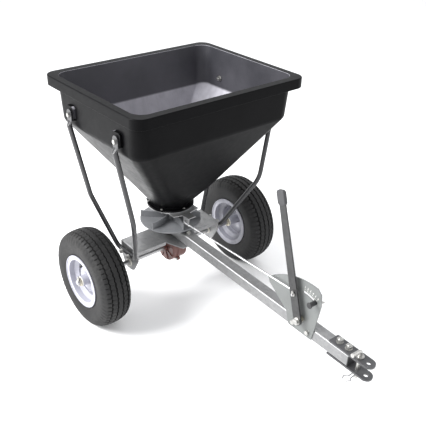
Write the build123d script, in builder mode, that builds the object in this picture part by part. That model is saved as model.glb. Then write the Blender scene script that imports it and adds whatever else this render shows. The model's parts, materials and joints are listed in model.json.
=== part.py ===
from build123d import *
from math import sin, cos, radians, degrees, atan2, hypot, pi
import os

os.makedirs("parts", exist_ok=True)

# ---------------------------------------------------------------------------
# Tow-behind broadcast spreader.  Millimetres, +Z up, -Y forward (hitch end),
# wheels on the ground plane z = 0, origin under the middle of the whole part.
# ---------------------------------------------------------------------------

# wheels and axle
YA = 334.55           # axle position behind the origin
ZA = 165.0            # axle height = loaded wheel radius
TRACK = 632.0         # wheel centre to wheel centre
WX = TRACK / 2
TYRE_R = 165.0
AXLE_R = 8.0
AXLE_HALF = WX + 61.5
HUB_HALF = 46.0

# hopper
RIM_A, RIM_B = 316.0, 251.0        # half sizes of the rim, X and Y
RIM_Z = 794.0
RIM_SKIRT = 32.0
RIM_R = 36.0                       # corner radius of the rim
HOP_Y = YA - 31.0                  # middle of the rim, ahead of the axle
BAND_A, BAND_B = 296.0, 227.0      # upper band just under the rim
SH_A, SH_B, SH_Z = 292.0, 214.0, 658.0
NECK_A, NECK_B, NECK_Z = 110.0, 100.0, 412.0
NECK_Y = YA - 9.0
THROAT_R, THROAT_Z = 69.0, 352.0
HOP_BOTTOM = 340.0
WALL = 4.0

# drawbar frame: it falls towards the hitch by this angle, about the axle
SLOPE = 2.745
SN, CS = sin(radians(SLOPE)), cos(radians(SLOPE))
BAR = 38.0                          # square tube
BAR_T = 2.6
BAR_H = 82.0                        # tube centre above the axle, in its own frame
BAR_REAR, BAR_FRONT = -26.0, -812.0
WEB_TOP = BAR_H - BAR / 2           # top of the axle carrier web
WEB_T = 4.0
CHEEK_X = 175.0                     # outer face of the carrier cheeks
TUBE_R = 8.0                        # hopper support tube

# drive
SHAFT_R = 6.0
MODULE = 2.5
CROWN_TEETH, PINION_TEETH = 30, 10
CROWN_RP = MODULE * CROWN_TEETH / 2     # 37.5
PINION_RP = MODULE * PINION_TEETH / 2   # 12.5
IMP_R = 105.0
DISC_Z = 277.0

# flow control
PIV_Y, PIV_Z = -640.0, BAR_H + BAR / 2 + 13.0     # pivot, drawbar frame
LEVER_ANGLE = 74.2          # lever above the rearward horizontal, at rest
LEVER_SWING = 30.0
ROD_ARM = 84.0
LEVER_LEN = 385.0
STOP_ARM = 92.0
PLATE_IN, PLATE_OUT = -BAR / 2, -BAR / 2 - 3.0    # quadrant plate, X span
LEVER_IN, LEVER_OUT = -35.0, -40.0                # lever, X span
ROD_X = -28.5
ROD_R = 3.0
GATE_TRAVEL = ROD_ARM * (cos(radians(LEVER_ANGLE)) - cos(radians(LEVER_ANGLE + LEVER_SWING)))

# hitch
STRAP_REAR, STRAP_END = -742.0, -885.0
STRAP_T = 6.0
PIN_Y, FREE_Y = -836.0, -866.0
PIN_R = 6.35
HITCH_HOLE_R = 6.75


def tip(x, y, z):
    """A point given in the sloping drawbar frame, about the axle."""
    return (x, YA + y * CS - z * SN, ZA + y * SN + z * CS)


def side_plane(x, y=0.0, z=0.0):
    """Plane facing +X; local x runs rearward along the bar, local y up."""
    return Plane(origin=tip(x, y, z), x_dir=(0, CS, SN), z_dir=(1, 0, 0))


def top_plane(z, x=0.0, y=0.0):
    """Plane facing up off the bar; local x is +X, local y rearward."""
    return Plane(origin=tip(x, y, z), x_dir=(1, 0, 0), z_dir=(0, -SN, CS))


def down_plane(z, x=0.0, y=0.0):
    """As top_plane, but facing down."""
    return Plane(origin=tip(x, y, z), x_dir=(1, 0, 0), z_dir=(0, SN, -CS))


def wheel_plane(x):
    """Half-plane through the axle; local x is +X, local y the radius."""
    return Plane(origin=(x, YA, ZA), x_dir=(1, 0, 0), z_dir=(0, -1, 0))


def x_plane(x, y=YA, z=ZA):
    """Plane facing +X in the level frame; local x is +Y, local y is +Z."""
    return Plane(origin=(x, y, z), x_dir=(0, 1, 0), z_dir=(1, 0, 0))


AXLE_AXIS = Axis((0, YA, ZA), (1, 0, 0))
SHAFT_AXIS = Axis((0, YA, 0), (0, 0, 1))


def hex_bolt(d, length, af, head):
    """Hex bolt: bearing face at the origin, shank along +Z, head below."""
    with BuildPart() as b:
        with BuildSketch(Plane.XY):
            Circle(d / 2)
        extrude(amount=length)
        chamfer(b.faces().sort_by(Axis.Z)[-1].edges(), d * 0.1)
        with BuildSketch(Plane.XY):
            RegularPolygon(af / 2, 6, major_radius=False)
        extrude(amount=-head)
        with BuildSketch(Plane.XY.offset(-head)):
            Circle(af * 0.46)
        extrude(amount=-0.6)
    return b.part


def hex_nut(d, af, height, washer_r=0.0, washer_t=1.6):
    """Nut standing on the origin along +Z, on its own washer if asked."""
    with BuildPart() as n:
        z0 = 0.0
        if washer_r:
            with BuildSketch(Plane.XY):
                Circle(washer_r)
                Circle(d / 2 + 0.05, mode=Mode.SUBTRACT)
            extrude(amount=washer_t)
            z0 = washer_t
        with BuildSketch(Plane.XY.offset(z0)):
            RegularPolygon(af / 2, 6, major_radius=False)
            Circle(d / 2 + 0.05, mode=Mode.SUBTRACT)
        extrude(amount=height)
    return n.part


def pan_screw(d, length, head_r, head):
    """Domed screw: bearing face at the origin, shank along +Z."""
    with BuildPart() as s:
        with BuildSketch(Plane.XY):
            Circle(d / 2)
        extrude(amount=length)
        with BuildSketch(Plane.XY):
            Circle(head_r)
        extrude(amount=-head)
        fillet(s.faces().sort_by(Axis.Z)[0].edges(), head * 0.45)
    return s.part


# ---------------------------------------------------------------------------
# wheels (the left one is drawn, the right one mirrored)
# ---------------------------------------------------------------------------
with BuildPart() as left_tyre:
    with BuildSketch(wheel_plane(-WX)):
        with BuildLine():
            Spline((-44.5, 91), (-50.5, 108), (-51.7, 127), (-48.0, 145), (-40.5, 157))
            Spline((-40.5, 157), (-23, 163.6), (0, TYRE_R), (23, 163.6), (40.5, 157))
            Spline((40.5, 157), (48.0, 145), (51.7, 127), (50.5, 108), (44.5, 91))
            Line((44.5, 91), (44.5, 80))
            Line((44.5, 80), (40.5, 76.2))
            Line((40.5, 76.2), (33, 76.2))
            Line((33, 76.2), (37, 92))
            Spline((37, 92), (45.2, 112), (44.8, 132), (36, 150))
            Spline((36, 150), (17.6, 155.4), (0, 156.5), (-17.6, 155.4), (-36, 150))
            Spline((-36, 150), (-44.8, 132), (-45.2, 112), (-37, 92))
            Line((-37, 92), (-33, 76.2))
            Line((-33, 76.2), (-40.5, 76.2))
            Line((-40.5, 76.2), (-44.5, 80))
            Line((-44.5, 80), (-44.5, 91))
        make_face()
    revolve(axis=AXLE_AXIS)
    # four circumferential tread grooves
    with BuildSketch(wheel_plane(-WX)):
        for u in (-29.0, -10.0, 10.0, 29.0):
            with Locations((u, 163.5)):
                Rectangle(4.0, 9.0)
    revolve(axis=AXLE_AXIS, mode=Mode.SUBTRACT)
left_tyre.part.label = "left_tyre"

VALVE_PLANE = Plane(origin=(-WX - 22.5, YA, ZA + 69.0), x_dir=(0, 1, 0), z_dir=(-0.8412, 0, -0.5408))

with BuildPart() as left_rim:
    with BuildSketch(wheel_plane(-WX)):
        with BuildLine():
            FilletPolyline((-49.5, 89.5), (-45.0, 89.5), (-45.0, 76.0), (-27.0, 76.0), (-18.0, 62.0),
                           (18.0, 62.0), (27.0, 76.0), (45.0, 76.0), (45.0, 89.5), (49.5, 89.5),
                           radius=2.0)
            Line((49.5, 89.5), (49.5, 87.0))
            FilletPolyline((49.5, 87.0), (47.4, 87.0), (47.4, 73.5), (28.4, 73.5), (19.4, 59.5),
                           (-19.4, 59.5), (-28.4, 73.5), (-47.4, 73.5), (-47.4, 87.0), (-49.5, 87.0),
                           radius=1.0)
            Line((-49.5, 87.0), (-49.5, 89.5))
        make_face()
    revolve(axis=AXLE_AXIS)
    # valve hole in the outward slope of the drop centre
    with BuildSketch(VALVE_PLANE):
        Circle(5.6)
    extrude(amount=8, both=True, mode=Mode.SUBTRACT)
left_rim.part.label = "left_rim"

with BuildPart() as left_wheel_disc:
    # dished pressing welded in the drop centre, round a hub tube
    with BuildSketch(wheel_plane(-WX)):
        with BuildLine():
            Spline((-6.0, 59.3), (-9.5, 56.0), (-20.0, 47.0), (-24.0, 38.0), (-24.0, 30.0), (-20.5, 16.6))
            Line((-20.5, 16.6), (-17.5, 16.6))
            Spline((-17.5, 16.6), (-21.2, 30.0), (-21.2, 37.4), (-17.6, 45.2), (-7.5, 54.4), (6.0, 56.6))
            Line((6.0, 56.6), (6.0, 59.3))
            Line((6.0, 59.3), (-6.0, 59.3))
        make_face()
    revolve(axis=AXLE_AXIS)
    with BuildSketch(wheel_plane(-WX)):
        with Locations((0, 15.0)):
            Rectangle(2 * HUB_HALF, 3.6)
    revolve(axis=AXLE_AXIS)
    # five pressed stiffening dimples
    with BuildSketch(x_plane(-WX - 26)):
        with PolarLocations(31.5, 5, start_angle=18):
            Circle(5.0)
    extrude(amount=1.2, both=True, mode=Mode.SUBTRACT)
left_wheel_disc.part.label = "left_wheel_disc"

with BuildPart() as left_hub_bushings:
    for s in (-1, 1):
        with BuildSketch(wheel_plane(-WX)):
            with BuildLine():
                Polyline((s * 22.0, AXLE_R + 0.1), (s * 22.0, 13.15), (s * HUB_HALF, 13.15),
                         (s * HUB_HALF, 16.4), (s * (HUB_HALF + 3), 16.4), (s * (HUB_HALF + 3), AXLE_R + 0.1),
                         close=True)
            make_face()
        revolve(axis=AXLE_AXIS)
left_hub_bushings.part.label = "left_hub_bushings"

with BuildPart() as left_valve_stem:
    with BuildSketch(VALVE_PLANE.offset(-0.15)):
        Circle(7.2)
    extrude(amount=-2.6)
    with BuildSketch(VALVE_PLANE.offset(-0.5)):
        Circle(5.5)
    extrude(amount=8.0)
    with BuildSketch(VALVE_PLANE.offset(7.4)):
        Circle(5.2)
    extrude(amount=12.0, taper=6)
    with BuildSketch(VALVE_PLANE.offset(19.2)):
        Circle(4.3)
    extrude(amount=9.0)
    chamfer(left_valve_stem.faces().sort_by(Axis.X)[0].edges(), 0.8)
left_valve_stem.part.label = "left_valve_stem"

with BuildPart() as right_tyre:
    mirror(left_tyre.part, about=Plane.YZ)
right_tyre.part.label = "right_tyre"
with BuildPart() as right_rim:
    mirror(left_rim.part, about=Plane.YZ)
right_rim.part.label = "right_rim"
with BuildPart() as right_wheel_disc:
    mirror(left_wheel_disc.part, about=Plane.YZ)
    # cross hole for the drive pin
    with BuildSketch(Plane(origin=(WX + 34, YA, ZA), x_dir=(1, 0, 0), z_dir=(0, 0, 1))):
        Circle(3.05)
    extrude(amount=22, both=True, mode=Mode.SUBTRACT)
right_wheel_disc.part.label = "right_wheel_disc"
with BuildPart() as right_hub_bushings:
    mirror(left_hub_bushings.part, about=Plane.YZ)
    with BuildSketch(Plane(origin=(WX + 34, YA, ZA), x_dir=(1, 0, 0), z_dir=(0, 0, 1))):
        Circle(3.05)
    extrude(amount=22, both=True, mode=Mode.SUBTRACT)
right_hub_bushings.part.label = "right_hub_bushings"
with BuildPart() as right_valve_stem:
    mirror(left_valve_stem.part, about=Plane.YZ)
right_valve_stem.part.label = "right_valve_stem"

with BuildPart() as wheel_drive_pin:
    # the hub tube of the driven wheel is locked to the axle by this bolt
    with BuildSketch(Plane(origin=(WX + 34, YA, ZA - 24), x_dir=(1, 0, 0), z_dir=(0, 0, 1))):
        Circle(3.0)
    extrude(amount=45)
    with BuildSketch(Plane(origin=(WX + 34, YA, ZA + 16.9), x_dir=(1, 0, 0), z_dir=(0, 0, 1))):
        RegularPolygon(5.0, 6, major_radius=False)
    extrude(amount=4.2)
    with BuildSketch(Plane(origin=(WX + 34, YA, ZA - 16.9), x_dir=(1, 0, 0), z_dir=(0, 0, -1))):
        RegularPolygon(5.0, 6, major_radius=False)
    extrude(amount=5.0)
wheel_drive_pin.part.label = "wheel_drive_pin"

# ---------------------------------------------------------------------------
# axle and what turns with it
# ---------------------------------------------------------------------------
COTTER_X = (-WX - 55.1, -WX + 55.3, WX - 55.3, WX + 55.1)
WASHER_X = (-WX - 50.9, -WX + 50.9, WX - 50.9, WX + 50.9)

with BuildPart() as axle:
    with BuildSketch(x_plane(-AXLE_HALF)):
        Circle(AXLE_R)
    extrude(amount=2 * AXLE_HALF)
    chamfer(axle.edges().filter_by(GeomType.CIRCLE), 1.2)
    for cx in COTTER_X:
        with BuildSketch(Plane(origin=(cx, YA, ZA), x_dir=(1, 0, 0), z_dir=(0, 0, 1))):
            Circle(2.1)
        extrude(amount=12, both=True, mode=Mode.SUBTRACT)
    with BuildSketch(Plane(origin=(WX + 34, YA, ZA), x_dir=(1, 0, 0), z_dir=(0, 0, 1))):
        Circle(3.05)
    extrude(amount=12, both=True, mode=Mode.SUBTRACT)
    with BuildSketch(Plane(origin=(26.0, YA, ZA), x_dir=(1, 0, 0), z_dir=(0, 1, 0))):
        Circle(2.55)
    extrude(amount=12, both=True, mode=Mode.SUBTRACT)
axle.part.label = "axle"

with BuildPart() as axle_washers:
    for cx in WASHER_X:
        with BuildSketch(x_plane(cx - 1.2)):
            Circle(15.0)
            Circle(AXLE_R + 0.15, mode=Mode.SUBTRACT)
        extrude(amount=2.4)
axle_washers.part.label = "axle_washers"

with BuildPart() as axle_cotters:
    # split pins: a straight leg through the axle with a round eye on top
    for cx in COTTER_X:
        with BuildSketch(Plane(origin=(cx, YA, ZA - 15), x_dir=(1, 0, 0), z_dir=(0, 0, 1))):
            Circle(2.0)
        extrude(amount=27)
        with BuildSketch(Plane(origin=(cx, YA, ZA + 16), x_dir=(0, 1, 0), z_dir=(1, 0, 0))):
            Circle(5.4)
            Circle(2.6, mode=Mode.SUBTRACT)
        extrude(amount=1.5, both=True)
axle_cotters.part.label = "axle_cotters"

# crown gear: face teeth that point to -X, hub pinned on the axle
TOOTH_TIP_X = PINION_RP - 1.9
TOOTH_ROOT_X = PINION_RP + 2.6
with BuildPart() as crown_gear:
    with BuildSketch(x_plane(TOOTH_ROOT_X)):
        Circle(42.0)
    extrude(amount=4.4)
    with BuildSketch(x_plane(TOOTH_ROOT_X)):
        Circle(15.0)
    extrude(amount=15.0)
    with BuildSketch(x_plane(TOOTH_ROOT_X)):
        Circle(30.5)
        Circle(18.0, mode=Mode.SUBTRACT)
    extrude(amount=1.4, mode=Mode.SUBTRACT)
    with BuildSketch(Plane(origin=(0, YA, ZA + CROWN_RP), x_dir=(0, 1, 0), z_dir=(0, 0, 1))) as crown_tooth:
        with BuildLine():
            Polyline((-1.1, -TOOTH_TIP_X), (1.1, -TOOTH_TIP_X), (2.0, -TOOTH_ROOT_X - 0.5),
                     (-2.0, -TOOTH_ROOT_X - 0.5), close=True)
        make_face()
    extrude(amount=3.6, both=True, mode=Mode.PRIVATE)
    tooth = extrude(crown_tooth.sketch, amount=3.6, both=True, mode=Mode.PRIVATE)
    for k in range(CROWN_TEETH):
        add(tooth.rotate(AXLE_AXIS, 360.0 * k / CROWN_TEETH))
    with BuildSketch(x_plane(0)):
        Circle(AXLE_R + 0.02)
    extrude(amount=60, both=True, mode=Mode.SUBTRACT)
    with BuildSketch(Plane(origin=(26.0, YA, ZA), x_dir=(1, 0, 0), z_dir=(0, 1, 0))):
        Circle(2.55)
    extrude(amount=20, both=True, mode=Mode.SUBTRACT)
crown_gear.part.label = "crown_gear"

with BuildPart() as crown_gear_pin:
    with BuildSketch(Plane(origin=(26.0, YA - 15.5, ZA), x_dir=(1, 0, 0), z_dir=(0, 1, 0))):
        Circle(2.5)
        Circle(1.2, mode=Mode.SUBTRACT)
    extrude(amount=31)
crown_gear_pin.part.label = "crown_gear_pin"

# ---------------------------------------------------------------------------
# impeller shaft and what turns with it
# ---------------------------------------------------------------------------
with BuildPart() as impeller_shaft:
    with BuildSketch(Plane.XY.offset(191.0)):
        with Locations((0, YA)):
            Circle(SHAFT_R)
    extrude(amount=199.0)
    chamfer(impeller_shaft.edges().filter_by(GeomType.CIRCLE), 1.0)
    for hz, hr in ((211.0, 1.55), (248.5, 1.55), (262.0, 2.05), (372.0, 2.55)):
        with BuildSketch(Plane(origin=(0, YA, hz), x_dir=(0, 1, 0), z_dir=(1, 0, 0))):
            Circle(hr)
        extrude(amount=10, both=True, mode=Mode.SUBTRACT)
impeller_shaft.part.label = "impeller_shaft"

with BuildPart() as pinion_gear:
    with BuildSketch(Plane.XY.offset(197.8)):
        with Locations((0, YA)):
            Circle(9.4)
    extrude(amount=16.4)
    with BuildSketch(Plane.XY.offset(197.8)) as pinion_tooth:
        with BuildLine():
            Polyline((8.6, YA - 2.1), (PINION_RP, YA - 1.6), (PINION_RP + 1.7, YA - 1.0),
                     (PINION_RP + 1.7, YA + 1.0), (PINION_RP, YA + 1.6), (8.6, YA + 2.1), close=True)
        make_face()
    tooth = extrude(pinion_tooth.sketch, amount=10.0, mode=Mode.PRIVATE)
    for k in range(PINION_TEETH):
        add(tooth.rotate(SHAFT_AXIS, 18.0 + 360.0 * k / PINION_TEETH))
    with BuildSketch(Plane.XY.offset(190)):
        with Locations((0, YA)):
            Circle(SHAFT_R + 0.02)
    extrude(amount=40, mode=Mode.SUBTRACT)
    with BuildSketch(Plane(origin=(0, YA, 211.0), x_dir=(0, 1, 0), z_dir=(1, 0, 0))):
        Circle(1.55)
    extrude(amount=12, both=True, mode=Mode.SUBTRACT)
pinion_gear.part.label = "pinion_gear"

with BuildPart() as shaft_cross_pins:
    # one locks the pinion, one rests on the thrust washer, one drives the impeller
    for pz, half, pr in ((211.0, 9.2, 1.5), (248.5, 11.0, 1.5), (262.0, 17.6, 2.0)):
        with BuildSketch(Plane(origin=(-half, YA, pz), x_dir=(0, 1, 0), z_dir=(1, 0, 0))):
            Circle(pr)
        extrude(amount=2 * half)
shaft_cross_pins.part.label = "shaft_cross_pins"

with BuildPart() as thrust_washer:
    with BuildSketch(Plane.XY.offset(243.4)):
        with Locations((0, YA)):
            Circle(12.0)
            Circle(SHAFT_R + 0.15, mode=Mode.SUBTRACT)
    extrude(amount=3.2)
thrust_washer.part.label = "thrust_washer"

VANES = 6
with BuildPart() as impeller:
    with BuildSketch(Plane.XY.offset(DISC_Z)):
        with Locations((0, YA)):
            Circle(IMP_R)
    extrude(amount=3.0)
    with BuildSketch(Plane.XY.offset(252.0)):
        with Locations((0, YA)):
            Circle(15.5)
    extrude(amount=DISC_Z - 252.0 + 1)
    with BuildSketch(Plane.XY.offset(DISC_Z + 2)):
        with Locations((0, YA)):
            Circle(17.0)
    extrude(amount=20.0, taper=4)
    # curved vanes, rounded off at the rim
    with BuildSketch(Plane.XY.offset(DISC_Z + 2.5)) as vane_sketch:
        with BuildLine():
            ThreePointArc((14.0, YA - 1.4), (58.0, YA + 7.6), (IMP_R - 2.0, YA + 3.6))
            Line((IMP_R - 2.0, YA + 3.6), (IMP_R - 2.0, YA + 6.4))
            ThreePointArc((IMP_R - 2.0, YA + 6.4), (58.0, YA + 10.4), (14.0, YA + 1.4))
            Line((14.0, YA + 1.4), (14.0, YA - 1.4))
        make_face()
    vane = extrude(vane_sketch.sketch, amount=23.0, mode=Mode.PRIVATE)
    for k in range(VANES):
        add(vane.rotate(SHAFT_AXIS, 15.0 + 360.0 * k / VANES))
    # raised rim bead
    with BuildSketch(Plane.XY.offset(DISC_Z - 2)):
        with Locations((0, YA)):
            Circle(IMP_R)
            Circle(IMP_R - 3, mode=Mode.SUBTRACT)
    extrude(amount=2.5)
    with BuildSketch(Plane.XY.offset(240)):
        with Locations((0, YA)):
            Circle(SHAFT_R + 0.02)
    extrude(amount=80, mode=Mode.SUBTRACT)
    with BuildSketch(Plane(origin=(0, YA, 262.0), x_dir=(0, 1, 0), z_dir=(1, 0, 0))):
        Circle(2.05)
    extrude(amount=20, both=True, mode=Mode.SUBTRACT)
impeller.part.label = "impeller"

with BuildPart() as agitator:
    # sprung wire pin through the top of the shaft, ends set up and down
    with BuildLine() as agitator_path:
        FilletPolyline((-44, YA, 361), (-18, YA, 372), (18, YA, 372), (44, YA, 383), radius=9)
    with BuildSketch(Plane(origin=agitator_path.line @ 0, z_dir=agitator_path.line % 0)):
        Circle(2.5)
    sweep(path=agitator_path.line)
agitator.part.label = "agitator"

# ---------------------------------------------------------------------------
# gearbox housing, split down the middle across the axle
# ---------------------------------------------------------------------------
GB_L, GB_R = -25.0, 34.5
SCREW_ANGLES = (40, 140, 220, 320)
with BuildPart() as gearbox_body:
    with BuildSketch(x_plane(GB_L)):
        Circle(49.0)
    extrude(amount=GB_R - GB_L)
    fillet(gearbox_body.edges().filter_by(GeomType.CIRCLE), 4.0)
    # axle bosses
    with BuildSketch(x_plane(GB_L - 10)):
        Circle(14.5)
    extrude(amount=GB_R - GB_L + 20)
    # upright neck for the impeller shaft
    with BuildSketch(Plane.XY.offset(205.0)):
        with Locations((0, YA)):
            Circle(20.5)
    extrude(amount=14.0)
    with BuildSketch(Plane.XY.offset(205.0)):
        with Locations((0, YA)):
            Circle(16.0)
    extrude(amount=35.0)
    # joint flange and screw ears
    with BuildSketch(x_plane(0)):
        Circle(51.0)
        for sa in SCREW_ANGLES:
            with Locations((54.5 * cos(radians(sa)), 54.5 * sin(radians(sa)))):
                Circle(6.5)
    extrude(amount=4.5, both=True)
    # stiffening ribs on the two round faces
    for k in range(8):
        a = radians(22.5 + 45 * k)
        with BuildSketch(Plane(origin=(GB_L + 1, YA + 29 * cos(a), ZA + 29 * sin(a)),
                               x_dir=(0, cos(a), sin(a)), z_dir=(-1, 0, 0))):
            Rectangle(32, 3)
        extrude(amount=4)
        with BuildSketch(Plane(origin=(GB_R - 1, YA + 29 * cos(a), ZA + 29 * sin(a)),
                               x_dir=(0, cos(a), sin(a)), z_dir=(1, 0, 0))):
            Rectangle(32, 3)
        extrude(amount=4)
    # gear cavity, pinion pocket, bushing bore, axle bore, screw holes
    with BuildSketch(x_plane(GB_L + 3.5)):
        Circle(45.5)
    extrude(amount=GB_R - GB_L - 7.0, mode=Mode.SUBTRACT)
    with BuildSketch(Plane.XY.offset(185.0)):
        with Locations((0, YA)):
            Circle(16.5)
    extrude(amount=30.8, mode=Mode.SUBTRACT)
    with BuildSketch(Plane.XY.offset(200.0)):
        with Locations((0, YA)):
            Circle(10.05)
    extrude(amount=50.0, mode=Mode.SUBTRACT)
    with BuildSketch(x_plane(-60)):
        Circle(AXLE_R + 0.1)
    extrude(amount=120, mode=Mode.SUBTRACT)
    with BuildSketch(x_plane(-20)):
        for sa in SCREW_ANGLES:
            with Locations((54.5 * cos(radians(sa)), 54.5 * sin(radians(sa)))):
                Circle(2.55)
    extrude(amount=40, mode=Mode.SUBTRACT)

with BuildPart() as gearbox_housing_left:
    add(gearbox_body.part)
    split(bisect_by=Plane.YZ, keep=Keep.BOTTOM)
gearbox_housing_left.part.label = "gearbox_housing_left"
with BuildPart() as gearbox_housing_right:
    add(gearbox_body.part)
    split(bisect_by=Plane.YZ, keep=Keep.TOP)
gearbox_housing_right.part.label = "gearbox_housing_right"

gb_screw = hex_bolt(5.0, 15.0, 8.0, 3.5)
gb_nut = hex_nut(5.0, 8.0, 4.0)
with BuildPart() as gearbox_screws:
    for sa in SCREW_ANGLES:
        with Locations(Plane(origin=(-4.5, YA + 54.5 * cos(radians(sa)), ZA + 54.5 * sin(radians(sa))),
                             x_dir=(0, 1, 0), z_dir=(1, 0, 0))):
            add(gb_screw)
gearbox_screws.part.label = "gearbox_screws"
with BuildPart() as gearbox_nuts:
    for sa in SCREW_ANGLES:
        with Locations(Plane(origin=(4.5, YA + 54.5 * cos(radians(sa)), ZA + 54.5 * sin(radians(sa))),
                             x_dir=(0, 1, 0), z_dir=(1, 0, 0))):
            add(gb_nut)
gearbox_nuts.part.label = "gearbox_nuts"

with BuildPart() as shaft_bushing:
    with BuildSketch(Plane.XY.offset(218.0)):
        with Locations((0, YA)):
            Circle(10.0)
    extrude(amount=22.0)
    with BuildSketch(Plane.XY.offset(240.0)):
        with Locations((0, YA)):
            Circle(15.0)
    extrude(amount=3.0)
    with BuildSketch(Plane.XY.offset(210.0)):
        with Locations((0, YA)):
            Circle(SHAFT_R + 0.1)
    extrude(amount=40.0, mode=Mode.SUBTRACT)
shaft_bushing.part.label = "shaft_bushing"

# ---------------------------------------------------------------------------
# frame
# ---------------------------------------------------------------------------
CARRIER_BOLT_Y = (-62.0, -96.0)
SUP_RUN_Z = 40.0          # height of the support tubes' bottom run above the axle
SUP_BOLT_Y = (-20.0, 20.0)

with BuildPart() as axle_carrier:
    # web under the drawbar
    with BuildSketch(top_plane(WEB_TOP - WEB_T)):
        with BuildLine():
            Polyline((-CHEEK_X, -50), (-60, -50), (-34, -112), (34, -112), (60, -50), (CHEEK_X, -50),
                     (CHEEK_X, 50), (-CHEEK_X, 50), close=True)
        make_face()
    extrude(amount=WEB_T)
    # cheeks
    for s in (-1, 1):
        with BuildSketch(side_plane(s * CHEEK_X if s > 0 else -CHEEK_X)):
            with BuildLine():
                Polyline((-50, WEB_TOP), (50, WEB_TOP), (50, 26), (26, -20), (12, -27), (-12, -27), (-26, -20),
                         (-50, 26), close=True)
            make_face()
        extrude(amount=-s * WEB_T)
    fillet(axle_carrier.edges().filter_by(lambda e: abs(e.center().X) > CHEEK_X - 0.1
                                          and abs(e.length - 100.0) < 0.5
                                          and e.center().Z > ZA + 50), 3.5)
    # stiffening lips turned down along the front and rear of the web
    with BuildSketch(top_plane(WEB_TOP - WEB_T - 9.0)):
        with Locations((0, 48.0)):
            Rectangle(2 * CHEEK_X - 2 * WEB_T, 4.0)
        for s in (-1, 1):
            with Locations((s * (60 + CHEEK_X - WEB_T) / 2, -48.0)):
                Rectangle(CHEEK_X - WEB_T - 60, 4.0)
    extrude(amount=9.5)
    # bores for the axle bushings
    with BuildSketch(side_plane(-CHEEK_X - 5)):
        Circle(11.05)
    extrude(amount=2 * CHEEK_X + 10, mode=Mode.SUBTRACT)
    # neck of the gearbox comes up through the web
    with BuildSketch(Plane.XY.offset(200.0)):
        with Locations((0, YA)):
            Circle(17.0)
    extrude(amount=60.0, mode=Mode.SUBTRACT)
    # drawbar bolts
    with BuildSketch(top_plane(WEB_TOP - 20)):
        for by in CARRIER_BOLT_Y:
            with Locations((0, by)):
                Circle(4.1)
    extrude(amount=40, mode=Mode.SUBTRACT)
    # support tube bolts
    with BuildSketch(side_plane(-CHEEK_X - 5)):
        for by in SUP_BOLT_Y:
            with Locations((by, SUP_RUN_Z)):
                Circle(4.1)
    extrude(amount=2 * CHEEK_X + 10, mode=Mode.SUBTRACT)
axle_carrier.part.label = "axle_carrier"

with BuildPart() as axle_bushings:
    for s in (-1, 1):
        with BuildSketch(wheel_plane(0)):
            with BuildLine():
                Polyline((s * (CHEEK_X - WEB_T - 4), AXLE_R + 0.1), (s * (CHEEK_X - WEB_T - 4), 11.0),
                         (s * CHEEK_X, 11.0), (s * CHEEK_X, 16.0), (s * (CHEEK_X + 3), 16.0),
                         (s * (CHEEK_X + 3), AXLE_R + 0.1), close=True)
            make_face()
        revolve(axis=AXLE_AXIS)
axle_bushings.part.label = "axle_bushings"

QUAD_BOLT_Y = (PIV_Y - 28.0, PIV_Y + 28.0)
HITCH_BOLT_Y = (-765.0, -797.0)
with BuildPart() as drawbar:
    with BuildSketch(Plane(origin=tip(0, BAR_REAR, BAR_H), x_dir=(1, 0, 0), z_dir=(0, CS, SN))):
        RectangleRounded(BAR, BAR, 5.0)
        RectangleRounded(BAR - 2 * BAR_T, BAR - 2 * BAR_T, 2.6, mode=Mode.SUBTRACT)
    extrude(amount=BAR_FRONT - BAR_REAR)
    with BuildSketch(top_plane(BAR_H - 30)):
        for by in CARRIER_BOLT_Y:
            with Locations((0, by)):
                Circle(4.1)
        for by in HITCH_BOLT_Y:
            with Locations((0, by)):
                Circle(5.1)
    extrude(amount=60, mode=Mode.SUBTRACT)
    with BuildSketch(side_plane(-30)):
        for by in QUAD_BOLT_Y:
            with Locations((by, BAR_H)):
                Circle(4.1)
    extrude(amount=60, mode=Mode.SUBTRACT)
drawbar.part.label = "drawbar"

with BuildPart() as drawbar_plugs:
    for py, sgn in ((BAR_REAR, 1), (BAR_FRONT, -1)):
        with BuildSketch(Plane(origin=tip(0, py, BAR_H), x_dir=(1, 0, 0), z_dir=(0, CS, SN))):
            RectangleRounded(BAR - 0.6, BAR - 0.6, 4.6)
        extrude(amount=sgn * 2.5)
        with BuildSketch(Plane(origin=tip(0, py, BAR_H), x_dir=(1, 0, 0), z_dir=(0, CS, SN))):
            RectangleRounded(BAR - 2 * BAR_T - 0.2, BAR - 2 * BAR_T - 0.2, 2.5)
            RectangleRounded(BAR - 2 * BAR_T - 5, BAR - 2 * BAR_T - 5, 1.5, mode=Mode.SUBTRACT)
        extrude(amount=-sgn * 7.0)
drawbar_plugs.part.label = "drawbar_plugs"

# drawbar bolts: two up through the carrier, two across through the quadrant plate
m8_bolt = hex_bolt(8.0, BAR + WEB_T + 10.5, 13.0, 5.3)
m8_nut = hex_nut(8.0, 13.0, 6.5, washer_r=8.0)
with BuildPart() as drawbar_bolts:
    for by in CARRIER_BOLT_Y:
        with Locations(top_plane(WEB_TOP - WEB_T, 0, by)):
            add(m8_bolt)
    for by in QUAD_BOLT_Y:
        with Locations(side_plane(PLATE_OUT, by, BAR_H)):
            add(m8_bolt)
drawbar_bolts.part.label = "drawbar_bolts"

# hopper support tubes: a bent tube each side, its bottom run on the cheek
TAB_X = 301.0                      # face of the moulded pads on the hopper
SUP_TOP_DY = 126.0
TAB_Z = 690.0
SUP_X = CHEEK_X + 0.0 + TUBE_R


def support_points(s):
    zr = ZA + SUP_RUN_Z
    yf, yr = HOP_Y - SUP_TOP_DY, HOP_Y + SUP_TOP_DY
    return [(s * (TAB_X + 5.8), yf, 662.0), (s * 258.0, YA - 162.0, 415.0), (s * SUP_X, YA - 52.0, zr),
            (s * SUP_X, YA + 52.0, zr), (s * 258.0, YA + 84.0, 415.0), (s * (TAB_X + 5.8), yr, 662.0)]


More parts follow.
